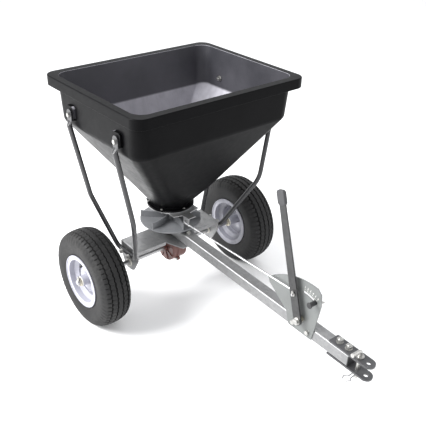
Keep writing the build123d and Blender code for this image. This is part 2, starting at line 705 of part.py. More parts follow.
def support_tube(s):
    pts = support_points(s)
    with BuildPart() as sup:
        with BuildLine() as path:
            FilletPolyline(*pts, radius=[110, 26, 26, 110])
        start = Plane(origin=path.line @ 0, z_dir=path.line % 0)
        with BuildSketch(start):
            Circle(TUBE_R)
            Circle(TUBE_R - 1.8, mode=Mode.SUBTRACT)
        sweep(path=path.line)
        # flattened ends, drilled, that lie on the hopper pads
        for y in (HOP_Y - SUP_TOP_DY, HOP_Y + SUP_TOP_DY):
            end = path.line @ 0 if y < HOP_Y else path.line @ 1
            d = path.line % 0 if y < HOP_Y else path.line % 1
            n = Vector(*d) * (-1 if y < HOP_Y else 1)
            with BuildSketch(Plane(origin=end, x_dir=(0, 1, 0), z_dir=n)):
                Circle(TUBE_R)
            with BuildSketch(Plane(origin=(s * (TAB_X + 2.0), y, 676.0), x_dir=(0, 1, 0), z_dir=(0, 0, 1))):
                Ellipse(12.9, 2.0)
            loft()
            with BuildSketch(Plane(origin=(s * TAB_X, y, TAB_Z), x_dir=(0, 1, 0), z_dir=(s, 0, 0))):
                SlotOverall(44.0, 26.0, rotation=90)
            extrude(amount=4.0)
            with BuildSketch(Plane(origin=(s * (TAB_X - 5), y, TAB_Z + 4), x_dir=(0, 1, 0), z_dir=(s, 0, 0))):
                Circle(4.1)
            extrude(amount=14.0, mode=Mode.SUBTRACT)
        # cross holes of the bottom run
        with BuildSketch(side_plane(s * (CHEEK_X - 3))):
            for by in SUP_BOLT_Y:
                with Locations((by, SUP_RUN_Z)):
                    Circle(4.1)
        extrude(amount=s * 30, mode=Mode.SUBTRACT)
    return sup.part


with BuildPart() as left_hopper_support:
    add(support_tube(-1))
left_hopper_support.part.label = "left_hopper_support"
with BuildPart() as right_hopper_support:
    add(support_tube(1))
right_hopper_support.part.label = "right_hopper_support"

sup_bolt = hex_bolt(8.0, WEB_T + 2 * TUBE_R + 10.0, 13.0, 5.3)
with BuildPart() as support_bolts:
    for s in (-1, 1):
        for by in SUP_BOLT_Y:
            pl = side_plane(s * (CHEEK_X - WEB_T), by, SUP_RUN_Z)
            with Locations(Plane(origin=pl.origin, x_dir=(0, CS, SN), z_dir=(s, 0, 0))):
                add(sup_bolt)
support_bolts.part.label = "support_bolts"
with BuildPart() as frame_nuts:
    for by in CARRIER_BOLT_Y:
        with Locations(top_plane(BAR_H + BAR / 2, 0, by)):
            add(m8_nut)
    for by in QUAD_BOLT_Y:
        with Locations(side_plane(BAR / 2, by, BAR_H)):
            add(m8_nut)
    for s in (-1, 1):
        for by in SUP_BOLT_Y:
            pl = side_plane(s * (CHEEK_X + 2 * TUBE_R), by, SUP_RUN_Z)
            with Locations(Plane(origin=pl.origin, x_dir=(0, CS, SN), z_dir=(s, 0, 0))):
                add(m8_nut)
frame_nuts.part.label = "frame_nuts"

# ---------------------------------------------------------------------------
# hopper
# ---------------------------------------------------------------------------
BASE_R = 80.0


def level_edges(part, z):
    """Edges of a part that lie flat at height z."""
    return [e for e in part.edges() if abs(e.bounding_box().min.Z - z) < 0.01 and abs(e.bounding_box().max.Z - z) < 0.01]


def rim_reach(e):
    """How far an edge lies from the straight-sided core of the rim: RIM_R on its outer outline."""
    c = e.center()
    return hypot(max(0.0, abs(c.X) - (RIM_A - RIM_R)), max(0.0, abs(c.Y - HOP_Y) - (RIM_B - RIM_R)))


BASE_SCREW_R = 74.6
with BuildPart() as hopper_sharp:
    # outside, from the throat up
    with BuildSketch(Plane.XY.offset(HOP_BOTTOM)):
        with Locations((0, YA)):
            RectangleRounded(2 * THROAT_R, 2 * THROAT_R, THROAT_R - 0.5)
    extrude(amount=THROAT_Z - HOP_BOTTOM)
    with BuildSketch(Plane.XY.offset(THROAT_Z)):
        with Locations((0, YA)):
            RectangleRounded(2 * THROAT_R, 2 * THROAT_R, THROAT_R - 0.5)
    with BuildSketch(Plane.XY.offset(NECK_Z)):
        with Locations((0, NECK_Y)):
            RectangleRounded(2 * NECK_A, 2 * NECK_B, 52)
    loft()
    with BuildSketch(Plane.XY.offset(NECK_Z)):
        with Locations((0, NECK_Y)):
            RectangleRounded(2 * NECK_A, 2 * NECK_B, 52)
    with BuildSketch(Plane.XY.offset(SH_Z)):
        with Locations((0, HOP_Y)):
            RectangleRounded(2 * SH_A, 2 * SH_B, 40)
    loft()
    with BuildSketch(Plane.XY.offset(SH_Z)):
        with Locations((0, HOP_Y)):
            RectangleRounded(2 * SH_A, 2 * SH_B, 40)
    with BuildSketch(Plane.XY.offset(RIM_Z - 2)):
        with Locations((0, HOP_Y)):
            RectangleRounded(2 * BAND_A, 2 * BAND_B, 42)
    loft()
    # rim block, hollowed into a turned-down skirt further on
    with BuildSketch(Plane.XY.offset(RIM_Z - RIM_SKIRT)):
        with Locations((0, HOP_Y)):
            RectangleRounded(2 * RIM_A, 2 * RIM_B, RIM_R)
    extrude(amount=RIM_SKIRT)
    # flat pads for the support tubes, on the two end walls
    for s in (-1, 1):
        for dy in (-SUP_TOP_DY, SUP_TOP_DY):
            with BuildSketch(Plane(origin=(s * (SH_A - 8), HOP_Y + dy, TAB_Z + 9), x_dir=(0, 1, 0), z_dir=(s, 0, 0))):
                RectangleRounded(40, 45, 9)
            extrude(amount=TAB_X - SH_A + 8)
    # bottom flange
    with BuildSketch(Plane.XY.offset(HOP_BOTTOM)):
        with Locations((0, YA)):
            Circle(BASE_R)
    extrude(amount=6.0)
    # inside
    with BuildSketch(Plane.XY.offset(HOP_BOTTOM - 1)):
        with Locations((0, YA)):
            RectangleRounded(2 * THROAT_R - 8, 2 * THROAT_R - 8, THROAT_R - 4.5)
    extrude(amount=THROAT_Z - HOP_BOTTOM + 1, mode=Mode.SUBTRACT)
    with BuildSketch(Plane.XY.offset(THROAT_Z)):
        with Locations((0, YA)):
            RectangleRounded(2 * THROAT_R - 8, 2 * THROAT_R - 8, THROAT_R - 4.5)
    with BuildSketch(Plane.XY.offset(NECK_Z + 1.5)):
        with Locations((0, NECK_Y)):
            RectangleRounded(2 * NECK_A - 9, 2 * NECK_B - 9, 48)
    loft(mode=Mode.SUBTRACT)
    with BuildSketch(Plane.XY.offset(NECK_Z + 1.5)):
        with Locations((0, NECK_Y)):
            RectangleRounded(2 * NECK_A - 9, 2 * NECK_B - 9, 48)
    with BuildSketch(Plane.XY.offset(SH_Z + 1.5)):
        with Locations((0, HOP_Y)):
            RectangleRounded(2 * SH_A - 8, 2 * SH_B - 8, 36)
    loft(mode=Mode.SUBTRACT)
    with BuildSketch(Plane.XY.offset(SH_Z + 1.5)):
        with Locations((0, HOP_Y)):
            RectangleRounded(2 * SH_A - 8, 2 * SH_B - 8, 36)
    with BuildSketch(Plane.XY.offset(RIM_Z + 2)):
        with Locations((0, HOP_Y)):
            RectangleRounded(2 * BAND_A - 8, 2 * BAND_B - 8, 38)
    loft(mode=Mode.SUBTRACT)
    # hollow under the rim, between the band and the skirt
    with BuildSketch(Plane.XY.offset(RIM_Z - RIM_SKIRT - 1)):
        with Locations((0, HOP_Y)):
            RectangleRounded(2 * RIM_A - 7, 2 * RIM_B - 7, RIM_R - 3.5)
            RectangleRounded(2 * BAND_A - 1.6, 2 * BAND_B - 1.6, 41.5, mode=Mode.SUBTRACT)
    extrude(amount=RIM_SKIRT + 1 - 3.8, mode=Mode.SUBTRACT)
    # bolt holes
    for s in (-1, 1):
        for dy in (-SUP_TOP_DY, SUP_TOP_DY):
            with BuildSketch(Plane(origin=(s * (SH_A - 20), HOP_Y + dy, TAB_Z + 4), x_dir=(0, 1, 0), z_dir=(s, 0, 0))):
                Circle(4.1)
            extrude(amount=40, mode=Mode.SUBTRACT)
    with BuildSketch(Plane.XY.offset(HOP_BOTTOM - 1)):
        with Locations((0, YA)):
            with PolarLocations(BASE_SCREW_R, 6, start_angle=30):
                Circle(2.05)
    extrude(amount=8, mode=Mode.SUBTRACT)
with BuildPart() as hopper:
    add(hopper_sharp.part)
    # moulded radii: outside and inside of the shoulder, then the rim's edges
    fillet(level_edges(hopper.part, SH_Z), 25)
    fillet(level_edges(hopper.part, SH_Z + 1.5), 21)
    fillet([e for e in level_edges(hopper.part, RIM_Z) if rim_reach(e) > RIM_R - 4], 3.0)
    fillet([e for e in level_edges(hopper.part, RIM_Z) if rim_reach(e) < RIM_R - 12], 1.5)
    fillet([e for e in level_edges(hopper.part, RIM_Z - RIM_SKIRT) if rim_reach(e) > RIM_R - 3], 1.2)
hopper.part.label = "hopper"

hop_bolt = hex_bolt(8.0, 26.0, 13.0, 5.3)
hop_nut = hex_nut(8.0, 13.0, 6.5, washer_r=9.5, washer_t=2.0)
with BuildPart() as hopper_bolts:
    for s in (-1, 1):
        for dy in (-SUP_TOP_DY, SUP_TOP_DY):
            with Locations(Plane(origin=(s * (TAB_X + 4.0), HOP_Y + dy, TAB_Z + 4), x_dir=(0, 1, 0), z_dir=(-s, 0, 0))):
                add(hop_bolt)
hopper_bolts.part.label = "hopper_bolts"
HOP_NUT_X = SH_A + (BAND_A - SH_A) * (TAB_Z + 4 - SH_Z) / (RIM_Z - SH_Z) - 4.6
with BuildPart() as hopper_nuts:
    for s in (-1, 1):
        for dy in (-SUP_TOP_DY, SUP_TOP_DY):
            with Locations(Plane(origin=(s * HOP_NUT_X, HOP_Y + dy, TAB_Z + 4), x_dir=(0, 1, 0), z_dir=(-s, 0, 0))):
                add(hop_nut)
hopper_nuts.part.label = "hopper_nuts"

# outlet plate, gate and its rails
PLATE_T = 3.0
OUTLET_X, OUTLET_W, OUTLET_L = 31.0, 26.0, 36.0
GATE_T = 2.5
GATE_TOP = HOP_BOTTOM - PLATE_T - 0.5
GATE_W = 104.0
RIVET_X, RIVET_Y = 58.2, 14.0
with BuildPart() as hopper_base_plate:
    with BuildSketch(Plane.XY.offset(HOP_BOTTOM - PLATE_T)):
        with Locations((0, YA)):
            Circle(BASE_R)
            Circle(8.1, mode=Mode.SUBTRACT)
        with Locations((-OUTLET_X, YA), (OUTLET_X, YA)):
            RectangleRounded(OUTLET_W, OUTLET_L, 5, mode=Mode.SUBTRACT)
        with Locations((0, YA)):
            with PolarLocations(BASE_SCREW_R, 6, start_angle=30):
                Circle(1.9, mode=Mode.SUBTRACT)
        for s in (-1, 1):
            for y in (-RIVET_Y, RIVET_Y):
                with Locations((s * RIVET_X, YA + y)):
                    Circle(2.05, mode=Mode.SUBTRACT)
    extrude(amount=PLATE_T)
hopper_base_plate.part.label = "hopper_base_plate"

with BuildPart() as base_bushing:
    with BuildSketch(Plane.XY.offset(HOP_BOTTOM)):
        with Locations((0, YA)):
            Circle(13.0)
    extrude(amount=3.0)
    with BuildSketch(Plane.XY.offset(HOP_BOTTOM - PLATE_T)):
        with Locations((0, YA)):
            Circle(8.0)
    extrude(amount=PLATE_T)
    with BuildSketch(Plane.XY.offset(HOP_BOTTOM - 10)):
        with Locations((0, YA)):
            Circle(SHAFT_R + 0.1)
    extrude(amount=20, mode=Mode.SUBTRACT)
base_bushing.part.label = "base_bushing"

base_screw = pan_screw(3.8, 6.0 + PLATE_T, 4.2, 2.8)
with BuildPart() as base_plate_screws:
    with Locations(Plane(origin=(0, YA, HOP_BOTTOM + 6.0), x_dir=(1, 0, 0), z_dir=(0, 0, -1))):
        with PolarLocations(BASE_SCREW_R, 6, start_angle=30):
            add(base_screw)
base_plate_screws.part.label = "base_plate_screws"

with BuildPart() as gate_rails:
    z1 = HOP_BOTTOM - PLATE_T
    for s in (-1, 1):
        with BuildSketch(Plane(origin=(0, YA - 42, 0), x_dir=(1, 0, 0), z_dir=(0, -1, 0))):
            with BuildLine():
                Polyline((s * 68.0, z1), (s * 52.8, z1), (s * 52.8, z1 - 3.9), (s * 44.0, z1 - 3.9),
                         (s * 44.0, z1 - 5.9), (s * 54.8, z1 - 5.9), (s * 54.8, z1 - 2.0),
                         (s * 68.0, z1 - 2.0), close=True)
            make_face()
        extrude(amount=-84)
    with BuildSketch(Plane.XY.offset(z1 - 10)):
        for s in (-1, 1):
            for y in (-RIVET_Y, RIVET_Y):
                with Locations((s * RIVET_X, YA + y)):
                    Circle(2.05)
    extrude(amount=20, mode=Mode.SUBTRACT)
gate_rails.part.label = "gate_rails"

with BuildPart() as rail_rivets:
    for s in (-1, 1):
        for y in (-RIVET_Y, RIVET_Y):
            with BuildSketch(Plane.XY.offset(HOP_BOTTOM - PLATE_T - 2.0)):
                with Locations((s * RIVET_X, YA + y)):
                    Circle(2.0)
            extrude(amount=PLATE_T + 2.0)
            with BuildSketch(Plane.XY.offset(HOP_BOTTOM - PLATE_T - 2.0)):
                with Locations((s * RIVET_X, YA + y)):
                    Circle(3.1)
            extrude(amount=-1.4, taper=25)
            with BuildSketch(Plane.XY.offset(HOP_BOTTOM)):
                with Locations((s * RIVET_X, YA + y)):
                    Circle(3.1)
            extrude(amount=1.2, taper=25)
rail_rivets.part.label = "rail_rivets"

ROD_GATE_Y, ROD_GATE_Z = YA - 114.0, 320.0
TAB_GX = -22.0
with BuildPart() as slide_gate:
    with BuildSketch(Plane.XY.offset(GATE_TOP - GATE_T)):
        with BuildLine():
            Polyline((-GATE_W / 2, YA + 76), (GATE_W / 2, YA + 76), (GATE_W / 2, YA - 88),
                     (8, YA - 96), (8, YA - 128), (TAB_GX, YA - 128), (TAB_GX, YA - 96),
                     (-GATE_W / 2, YA - 88), close=True)
        make_face()
        for s in (-1, 1):
            with Locations((s * OUTLET_X, YA + GATE_TRAVEL)):
                RectangleRounded(OUTLET_W, OUTLET_L, 5, mode=Mode.SUBTRACT)
        with Locations((0, YA + GATE_TRAVEL / 2)):
            RectangleRounded(18.0, GATE_TRAVEL + 18.0, 8.9, mode=Mode.SUBTRACT)
    extrude(amount=GATE_T)
    # tab turned down for the rod
    with BuildSketch(Plane(origin=(TAB_GX, YA - 114, 0), x_dir=(0, 1, 0), z_dir=(1, 0, 0))):
        with Locations((0, (GATE_TOP + 308.0) / 2)):
            Rectangle(28.0, GATE_TOP - 308.0)
    extrude(amount=2.5)
    with BuildSketch(Plane(origin=(TAB_GX - 5, ROD_GATE_Y, ROD_GATE_Z + 0.4), x_dir=(0, 1, 0), z_dir=(1, 0, 0))):
        SlotOverall(13.6, 7.2, rotation=90)
    extrude(amount=12, mode=Mode.SUBTRACT)
slide_gate.part.label = "slide_gate"

# ---------------------------------------------------------------------------
# flow control
# ---------------------------------------------------------------------------
PIV = tip(0, PIV_Y, PIV_Z)         # pivot in the level frame
LA = radians(LEVER_ANGLE)


def on_lever(r, a=LEVER_ANGLE, off=0.0):
    """Level-frame y, z of a point on the lever at radius r."""
    ca, sa = cos(radians(a)), sin(radians(a))
    return (PIV[1] + r * ca - off * sa, PIV[2] + r * sa + off * ca)


def polar(r, a):
    return (r * cos(radians(a)), r * sin(radians(a)))


STOP_A = LEVER_ANGLE + LEVER_SWING + degrees((13.9 + 7.2) / STOP_ARM)
SLOT_A0, SLOT_A1 = LEVER_ANGLE + 16.0, STOP_A + 1.5
SLOT_AM = (SLOT_A0 + SLOT_A1) / 2

with BuildPart() as control_quadrant:
    with BuildSketch(side_plane(PLATE_OUT, PIV_Y, PIV_Z)):
        with BuildLine():
            Line((44, -49), (60, -8))
            Line((60, -8), (136, 46))
            Line((136, 46), (143, 60))
            ThreePointArc((143, 60), (58, 116), (-40, 130))
            Line((-40, 130), (-55, 117))
            Line((-55, 117), (-60, 82))
            Line((-60, 82), (-50, -8))
            Line((-50, -8), (-44, -49))
            Line((-44, -49), (44, -49))
        make_face()
        # pivot hole
        Circle(5.1, mode=Mode.SUBTRACT)
        for by in QUAD_BOLT_Y:
            with Locations((by - PIV_Y, BAR_H - PIV_Z)):
                Circle(4.1, mode=Mode.SUBTRACT)
    extrude(amount=PLATE_IN - PLATE_OUT)
    fillet(control_quadrant.edges().filter_by(Axis.X).filter_by(
        lambda e: e.center().Z > PIV[2] + 8 and abs(e.center().Z - PIV[2]) < 160), 3.5)
    # arc slot for the stop, concentric with the pivot
    with BuildSketch(x_plane(PLATE_OUT - 1, PIV[1], PIV[2])):
        with BuildLine():
            ThreePointArc(polar(STOP_ARM + 4.3, SLOT_A0), polar(STOP_ARM + 4.3, SLOT_AM), polar(STOP_ARM + 4.3, SLOT_A1))
            ThreePointArc(polar(STOP_ARM + 4.3, SLOT_A1), polar(STOP_ARM, SLOT_A1 + degrees(4.3 / STOP_ARM)),
                          polar(STOP_ARM - 4.3, SLOT_A1))
            ThreePointArc(polar(STOP_ARM - 4.3, SLOT_A1), polar(STOP_ARM - 4.3, SLOT_AM), polar(STOP_ARM - 4.3, SLOT_A0))
            ThreePointArc(polar(STOP_ARM - 4.3, SLOT_A0), polar(STOP_ARM, SLOT_A0 - degrees(4.3 / STOP_ARM)),
                          polar(STOP_ARM + 4.3, SLOT_A0))
        make_face()
    extrude(amount=8, both=True, mode=Mode.SUBTRACT)
control_quadrant.part.label = "control_quadrant"

with BuildPart() as flow_lever:
    LP = Plane(origin=(LEVER_OUT, PIV[1], PIV[2]), x_dir=(0, cos(LA), sin(LA)), z_dir=(1, 0, 0))
    with BuildSketch(LP):
        with BuildLine():
            Line((0, -14), (150, -13))
            Line((150, -13), (LEVER_LEN - 6, -11))
            Line((LEVER_LEN - 6, -11), (LEVER_LEN - 6, 11))
            Line((LEVER_LEN - 6, 11), (150, 13))
            Line((150, 13), (0, 14))
            ThreePointArc((0, 14), (-14, 0), (0, -14))
        make_face()
        Circle(5.05, mode=Mode.SUBTRACT)
        with Locations((ROD_ARM, 0)):
            Circle(ROD_R + 0.08, mode=Mode.SUBTRACT)
    extrude(amount=LEVER_IN - LEVER_OUT)
flow_lever.part.label = "flow_lever"

with BuildPart() as lever_grip:
    GP = Plane(origin=(LEVER_OUT - 3.5, PIV[1], PIV[2]), x_dir=(0, cos(LA), sin(LA)), z_dir=(1, 0, 0))
    with BuildSketch(GP):
        with Locations((LEVER_LEN - 20, 0)):
            RectangleRounded(44, 29, 9)
    extrude(amount=12.0)
    fillet(lever_grip.edges().filter_by(lambda e: abs(e.center().X - (LEVER_OUT - 3.5)) < 0.01
                                        or abs(e.center().X - (LEVER_OUT + 8.5)) < 0.01), 3.0)
    with BuildSketch(Plane(origin=(LEVER_OUT, PIV[1], PIV[2]), x_dir=(0, cos(LA), sin(LA)), z_dir=(1, 0, 0))):
        with BuildLine():
            Polyline((150, -13), (LEVER_LEN - 6, -11), (LEVER_LEN - 6, 11), (150, 13), close=True)
        make_face()
    extrude(amount=LEVER_IN - LEVER_OUT, mode=Mode.SUBTRACT)
lever_grip.part.label = "lever_grip"

with BuildPart() as lever_pivot_bolt:
    with Locations(Plane(origin=(LEVER_OUT - 2.0, PIV[1], PIV[2]), x_dir=(0, 1, 0), z_dir=(1, 0, 0))):
        add(hex_bolt(10.0, 42.0, 17.0, 6.4))
    with BuildSketch(x_plane(LEVER_OUT - 2.0, PIV[1], PIV[2])):
        Circle(11.0)
        Circle(5.0, mode=Mode.SUBTRACT)
    extrude(amount=1.6)
lever_pivot_bolt.part.label = "lever_pivot_bolt"

with BuildPart() as lever_spacer:
    with BuildSketch(x_plane(LEVER_IN + 0.4, PIV[1], PIV[2])):
        Circle(9.0)
        Circle(5.05, mode=Mode.SUBTRACT)
    extrude(amount=PLATE_OUT - LEVER_IN - 0.4)
lever_spacer.part.label = "lever_spacer"

with BuildPart() as lever_pivot_nut:
    with Locations(Plane(origin=(PLATE_IN, PIV[1], PIV[2]), x_dir=(0, 1, 0), z_dir=(1, 0, 0))):
        add(hex_nut(10.0, 17.0, 8.4, washer_r=10.5, washer_t=2.0))
lever_pivot_nut.part.label = "lever_pivot_nut"

SY, SZ = on_lever(STOP_ARM, STOP_A)
with BuildPart() as stop_bolt:
    # headed bolt with a sleeve that the lever comes up against
    with BuildSketch(x_plane(-45.0, SY, SZ)):
        Circle(7.0)
    extrude(amount=PLATE_OUT + 45.0)
    with BuildSketch(x_plane(-45.0, SY, SZ)):
        Circle(9.0)
    extrude(amount=-3.2)
    fillet(stop_bolt.faces().sort_by(Axis.X)[0].edges(), 1.5)
    with BuildSketch(x_plane(PLATE_OUT, SY, SZ)):
        Circle(4.0)
    extrude(amount=20.0)
stop_bolt.part.label = "stop_bolt"

with BuildPart() as stop_wing_nut:
    with BuildSketch(x_plane(PLATE_IN + 0.3, SY, SZ)):
        Circle(9.0)
    extrude(amount=1.6)
    with BuildSketch(x_plane(PLATE_IN + 1.8, SY, SZ)):
        Circle(7.0)
    extrude(amount=9.0, taper=8)
    for s in (-1, 1):
        with BuildSketch(Plane(origin=(PLATE_IN + 3.0, SY, SZ), x_dir=(1, 0, 0), z_dir=(0, 0, 1))):
            with BuildLine():
                Polyline((0, s * 4.0), (0, s * 8.0), (6.0, s * 15.5), (13.5, s * 17.0), (14.5, s * 13.0),
                         (9.0, s * 4.0), close=True)
            make_face()
        extrude(amount=1.3, both=True)
    with BuildSketch(x_plane(PLATE_IN - 5, SY, SZ)):
        Circle(4.1)
    extrude(amount=30, mode=Mode.SUBTRACT)
stop_wing_nut.part.label = "stop_wing_nut"

RY, RZ = on_lever(ROD_ARM)
with BuildPart() as flow_rod:
    # both ends turned at right angles, into the lever and into the gate tab
    with BuildLine() as rod_path:
        FilletPolyline((LEVER_OUT - 8.5, RY, RZ), (ROD_X, RY, RZ), (ROD_X, ROD_GATE_Y, ROD_GATE_Z),
                       (TAB_GX + 12.0, ROD_GATE_Y, ROD_GATE_Z), radius=5.5)
    with BuildSketch(Plane(origin=rod_path.line @ 0, z_dir=rod_path.line % 0)):
        Circle(ROD_R)
    sweep(path=rod_path.line)
    for hx, hy, hz in ((LEVER_OUT - 5.4, RY, RZ), (TAB_GX + 8.2, ROD_GATE_Y, ROD_GATE_Z)):
        with BuildSketch(Plane(origin=(hx, hy, hz), x_dir=(1, 0, 0), z_dir=(0, 0, 1))):
            Circle(1.05)
        extrude(amount=6, both=True, mode=Mode.SUBTRACT)
flow_rod.part.label = "flow_rod"

with BuildPart() as rod_clips:
    # washers and hairpins that keep the rod ends in
    for hx, hy, hz, d in ((LEVER_OUT - 5.4, RY, RZ, 1), (TAB_GX + 8.2, ROD_GATE_Y, ROD_GATE_Z, -1)):
        with BuildSketch(x_plane(hx + d * 2.4, hy, hz)):
            Circle(6.5)
            Circle(ROD_R + 0.1, mode=Mode.SUBTRACT)
        extrude(amount=d * 1.4)
        with BuildSketch(Plane(origin=(hx, hy, hz - 7), x_dir=(1, 0, 0), z_dir=(0, 0, 1))):
            Circle(1.0)
        extrude(amount=14)
        with BuildSketch(Plane(origin=(hx, hy, hz + d * 9.4), x_dir=(0, 1, 0), z_dir=(1, 0, 0))):
            Circle(3.4)
            Circle(1.6, mode=Mode.SUBTRACT)
        extrude(amount=0.9, both=True)
rod_clips.part.label = "rod_clips"

# ---------------------------------------------------------------------------
# hitch
# ---------------------------------------------------------------------------
def strap(z):
    with BuildPart() as st:
        with BuildSketch(top_plane(z)):
            with BuildLine():
                Line((-19, STRAP_REAR), (19, STRAP_REAR))
                Line((19, STRAP_REAR), (19, STRAP_END + 19))
                ThreePointArc((19, STRAP_END + 19), (0, STRAP_END), (-19, STRAP_END + 19))
                Line((-19, STRAP_END + 19), (-19, STRAP_REAR))
            make_face()
            for by in HITCH_BOLT_Y:
                with Locations((0, by)):
                    Circle(5.1, mode=Mode.SUBTRACT)
            for by in (PIN_Y, FREE_Y):
                with Locations((0, by)):
                    Circle(HITCH_HOLE_R, mode=Mode.SUBTRACT)
        extrude(amount=STRAP_T)
        chamfer(st.edges().filter_by(GeomType.LINE).filter_by(lambda e: abs(e.length - 38.0) < 0.1), 1.0)
    return st.part


with BuildPart() as hitch_straps:
    add(strap(BAR_H + BAR / 2))
    add(strap(BAR_H - BAR / 2 - STRAP_T))
hitch_straps.part.label = "hitch_straps"

hitch_bolt = hex_bolt(10.0, BAR + 2 * STRAP_T + 12.5, 17.0, 6.4)
hitch_nut = hex_nut(10.0, 17.0, 8.4, washer_r=10.5, washer_t=2.0)
with BuildPart() as hitch_bolts:
    for by in HITCH_BOLT_Y:
        with Locations(top_plane(BAR_H - BAR / 2 - STRAP_T, 0, by)):
            add(hitch_bolt)
hitch_bolts.part.label = "hitch_bolts"
with BuildPart() as hitch_nuts:
    for by in HITCH_BOLT_Y:
        with Locations(top_plane(BAR_H + BAR / 2 + STRAP_T, 0, by)):
            add(hitch_nut)
hitch_nuts.part.label = "hitch_nuts"

PIN_TOP = BAR_H + BAR / 2 + STRAP_T
PIN_LOW = BAR_H - BAR / 2 - STRAP_T - 26.0
CLIP_Z = PIN_LOW + 10.0
with BuildPart() as hitch_pin:
    with BuildSketch(top_plane(PIN_LOW, 0, PIN_Y)):
        Circle(PIN_R)
    extrude(amount=PIN_TOP - PIN_LOW + 3)
    chamfer(hitch_pin.faces().sort_by(Axis.Z)[0].edges(), 2.0)
    with BuildSketch(top_plane(PIN_TOP + 0.2, 0, PIN_Y)):
        Circle(12.0)
    extrude(amount=3.0)
    with BuildLine() as pin_path:
        FilletPolyline(tip(0, PIN_Y, PIN_TOP + 1), tip(0, PIN_Y, PIN_TOP + 20), tip(-38, PIN_Y, PIN_TOP + 24), radius=9)
    with BuildSketch(Plane(origin=pin_path.line @ 0, z_dir=pin_path.line % 0)):
        Circle(PIN_R - 0.6)
    sweep(path=pin_path.line)
    with BuildSketch(Plane(origin=tip(0, PIN_Y, CLIP_Z), x_dir=(0, CS, SN), z_dir=(1, 0, 0))):
        Circle(2.0)
    extrude(amount=10, both=True, mode=Mode.SUBTRACT)
hitch_pin.part.label = "hitch_pin"

with BuildPart() as hitch_pin_clip:
    # hairpin: one leg through the pin, the other outside it, a round eye between
    with BuildLine() as clip_path:
        FilletPolyline(tip(22, PIN_Y, CLIP_Z), tip(-22, PIN_Y, CLIP_Z), tip(-30, PIN_Y - 7, CLIP_Z),
                       tip(-44, PIN_Y + 1, CLIP_Z), tip(-44, PIN_Y + 12, CLIP_Z), tip(-30, PIN_Y + 18, CLIP_Z),
                       tip(-22, PIN_Y + 8.6, CLIP_Z), tip(16, PIN_Y + 8.6, CLIP_Z),
                       radius=[4, 6, 5, 5, 6, 4])
    with BuildSketch(Plane(origin=clip_path.line @ 0, z_dir=clip_path.line % 0)):
        Circle(1.75)
    sweep(path=clip_path.line)
hitch_pin_clip.part.label = "hitch_pin_clip"

# ---------------------------------------------------------------------------
NODES = [
    hopper, hopper_bolts, hopper_nuts, hopper_base_plate, base_bushing, base_plate_screws,
    gate_rails, rail_rivets, slide_gate,
    axle_carrier, axle_bushings, drawbar, drawbar_plugs, drawbar_bolts, frame_nuts,
    left_hopper_support, right_hopper_support, support_bolts,
    gearbox_housing_left, gearbox_housing_right, gearbox_screws, gearbox_nuts, shaft_bushing,
    axle, axle_washers, axle_cotters, crown_gear, crown_gear_pin,
    left_tyre, left_rim, left_wheel_disc, left_hub_bushings, left_valve_stem,
    right_tyre, right_rim, right_wheel_disc, right_hub_bushings, right_valve_stem, wheel_drive_pin,
    impeller_shaft, pinion_gear, shaft_cross_pins, thrust_washer, impeller, agitator,
    control_quadrant, flow_lever, lever_grip, lever_pivot_bolt,
    lever_spacer, lever_pivot_nut, stop_bolt, stop_wing_nut, flow_rod, rod_clips,
    hitch_straps, hitch_bolts, hitch_nuts, hitch_pin, hitch_pin_clip,
]
for n in NODES:
    export_step(n.part, "parts/" + n.part.label + ".step")
print(len(NODES), "nodes; gate travel", round(GATE_TRAVEL, 3), "pivot", [round(v, 3) for v in PIV],
      "stop", round(SY, 2), round(SZ, 2), "rod", round(RY, 2), round(RZ, 2))
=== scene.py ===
import bpy
import bmesh
import json
import math
from math import sin, cos, pi, radians
from mathutils import Vector, Matrix


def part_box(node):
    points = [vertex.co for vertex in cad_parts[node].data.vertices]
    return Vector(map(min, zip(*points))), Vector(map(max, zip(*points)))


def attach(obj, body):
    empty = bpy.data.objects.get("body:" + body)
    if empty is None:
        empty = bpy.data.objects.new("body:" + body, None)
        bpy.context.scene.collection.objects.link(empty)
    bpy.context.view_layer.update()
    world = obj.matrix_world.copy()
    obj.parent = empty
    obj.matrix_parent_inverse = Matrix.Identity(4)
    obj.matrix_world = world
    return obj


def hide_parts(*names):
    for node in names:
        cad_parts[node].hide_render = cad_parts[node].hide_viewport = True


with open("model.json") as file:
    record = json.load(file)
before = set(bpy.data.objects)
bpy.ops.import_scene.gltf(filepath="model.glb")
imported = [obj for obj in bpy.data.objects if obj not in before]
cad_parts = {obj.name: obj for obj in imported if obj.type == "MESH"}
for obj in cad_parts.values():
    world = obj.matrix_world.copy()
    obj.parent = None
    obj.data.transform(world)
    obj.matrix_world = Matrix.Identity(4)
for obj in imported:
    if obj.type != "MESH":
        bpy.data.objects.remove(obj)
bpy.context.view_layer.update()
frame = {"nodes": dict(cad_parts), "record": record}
NODES = frame["nodes"]
JOINTS = {j["name"]: j for j in frame["record"]["behaviour"]["joints"]}


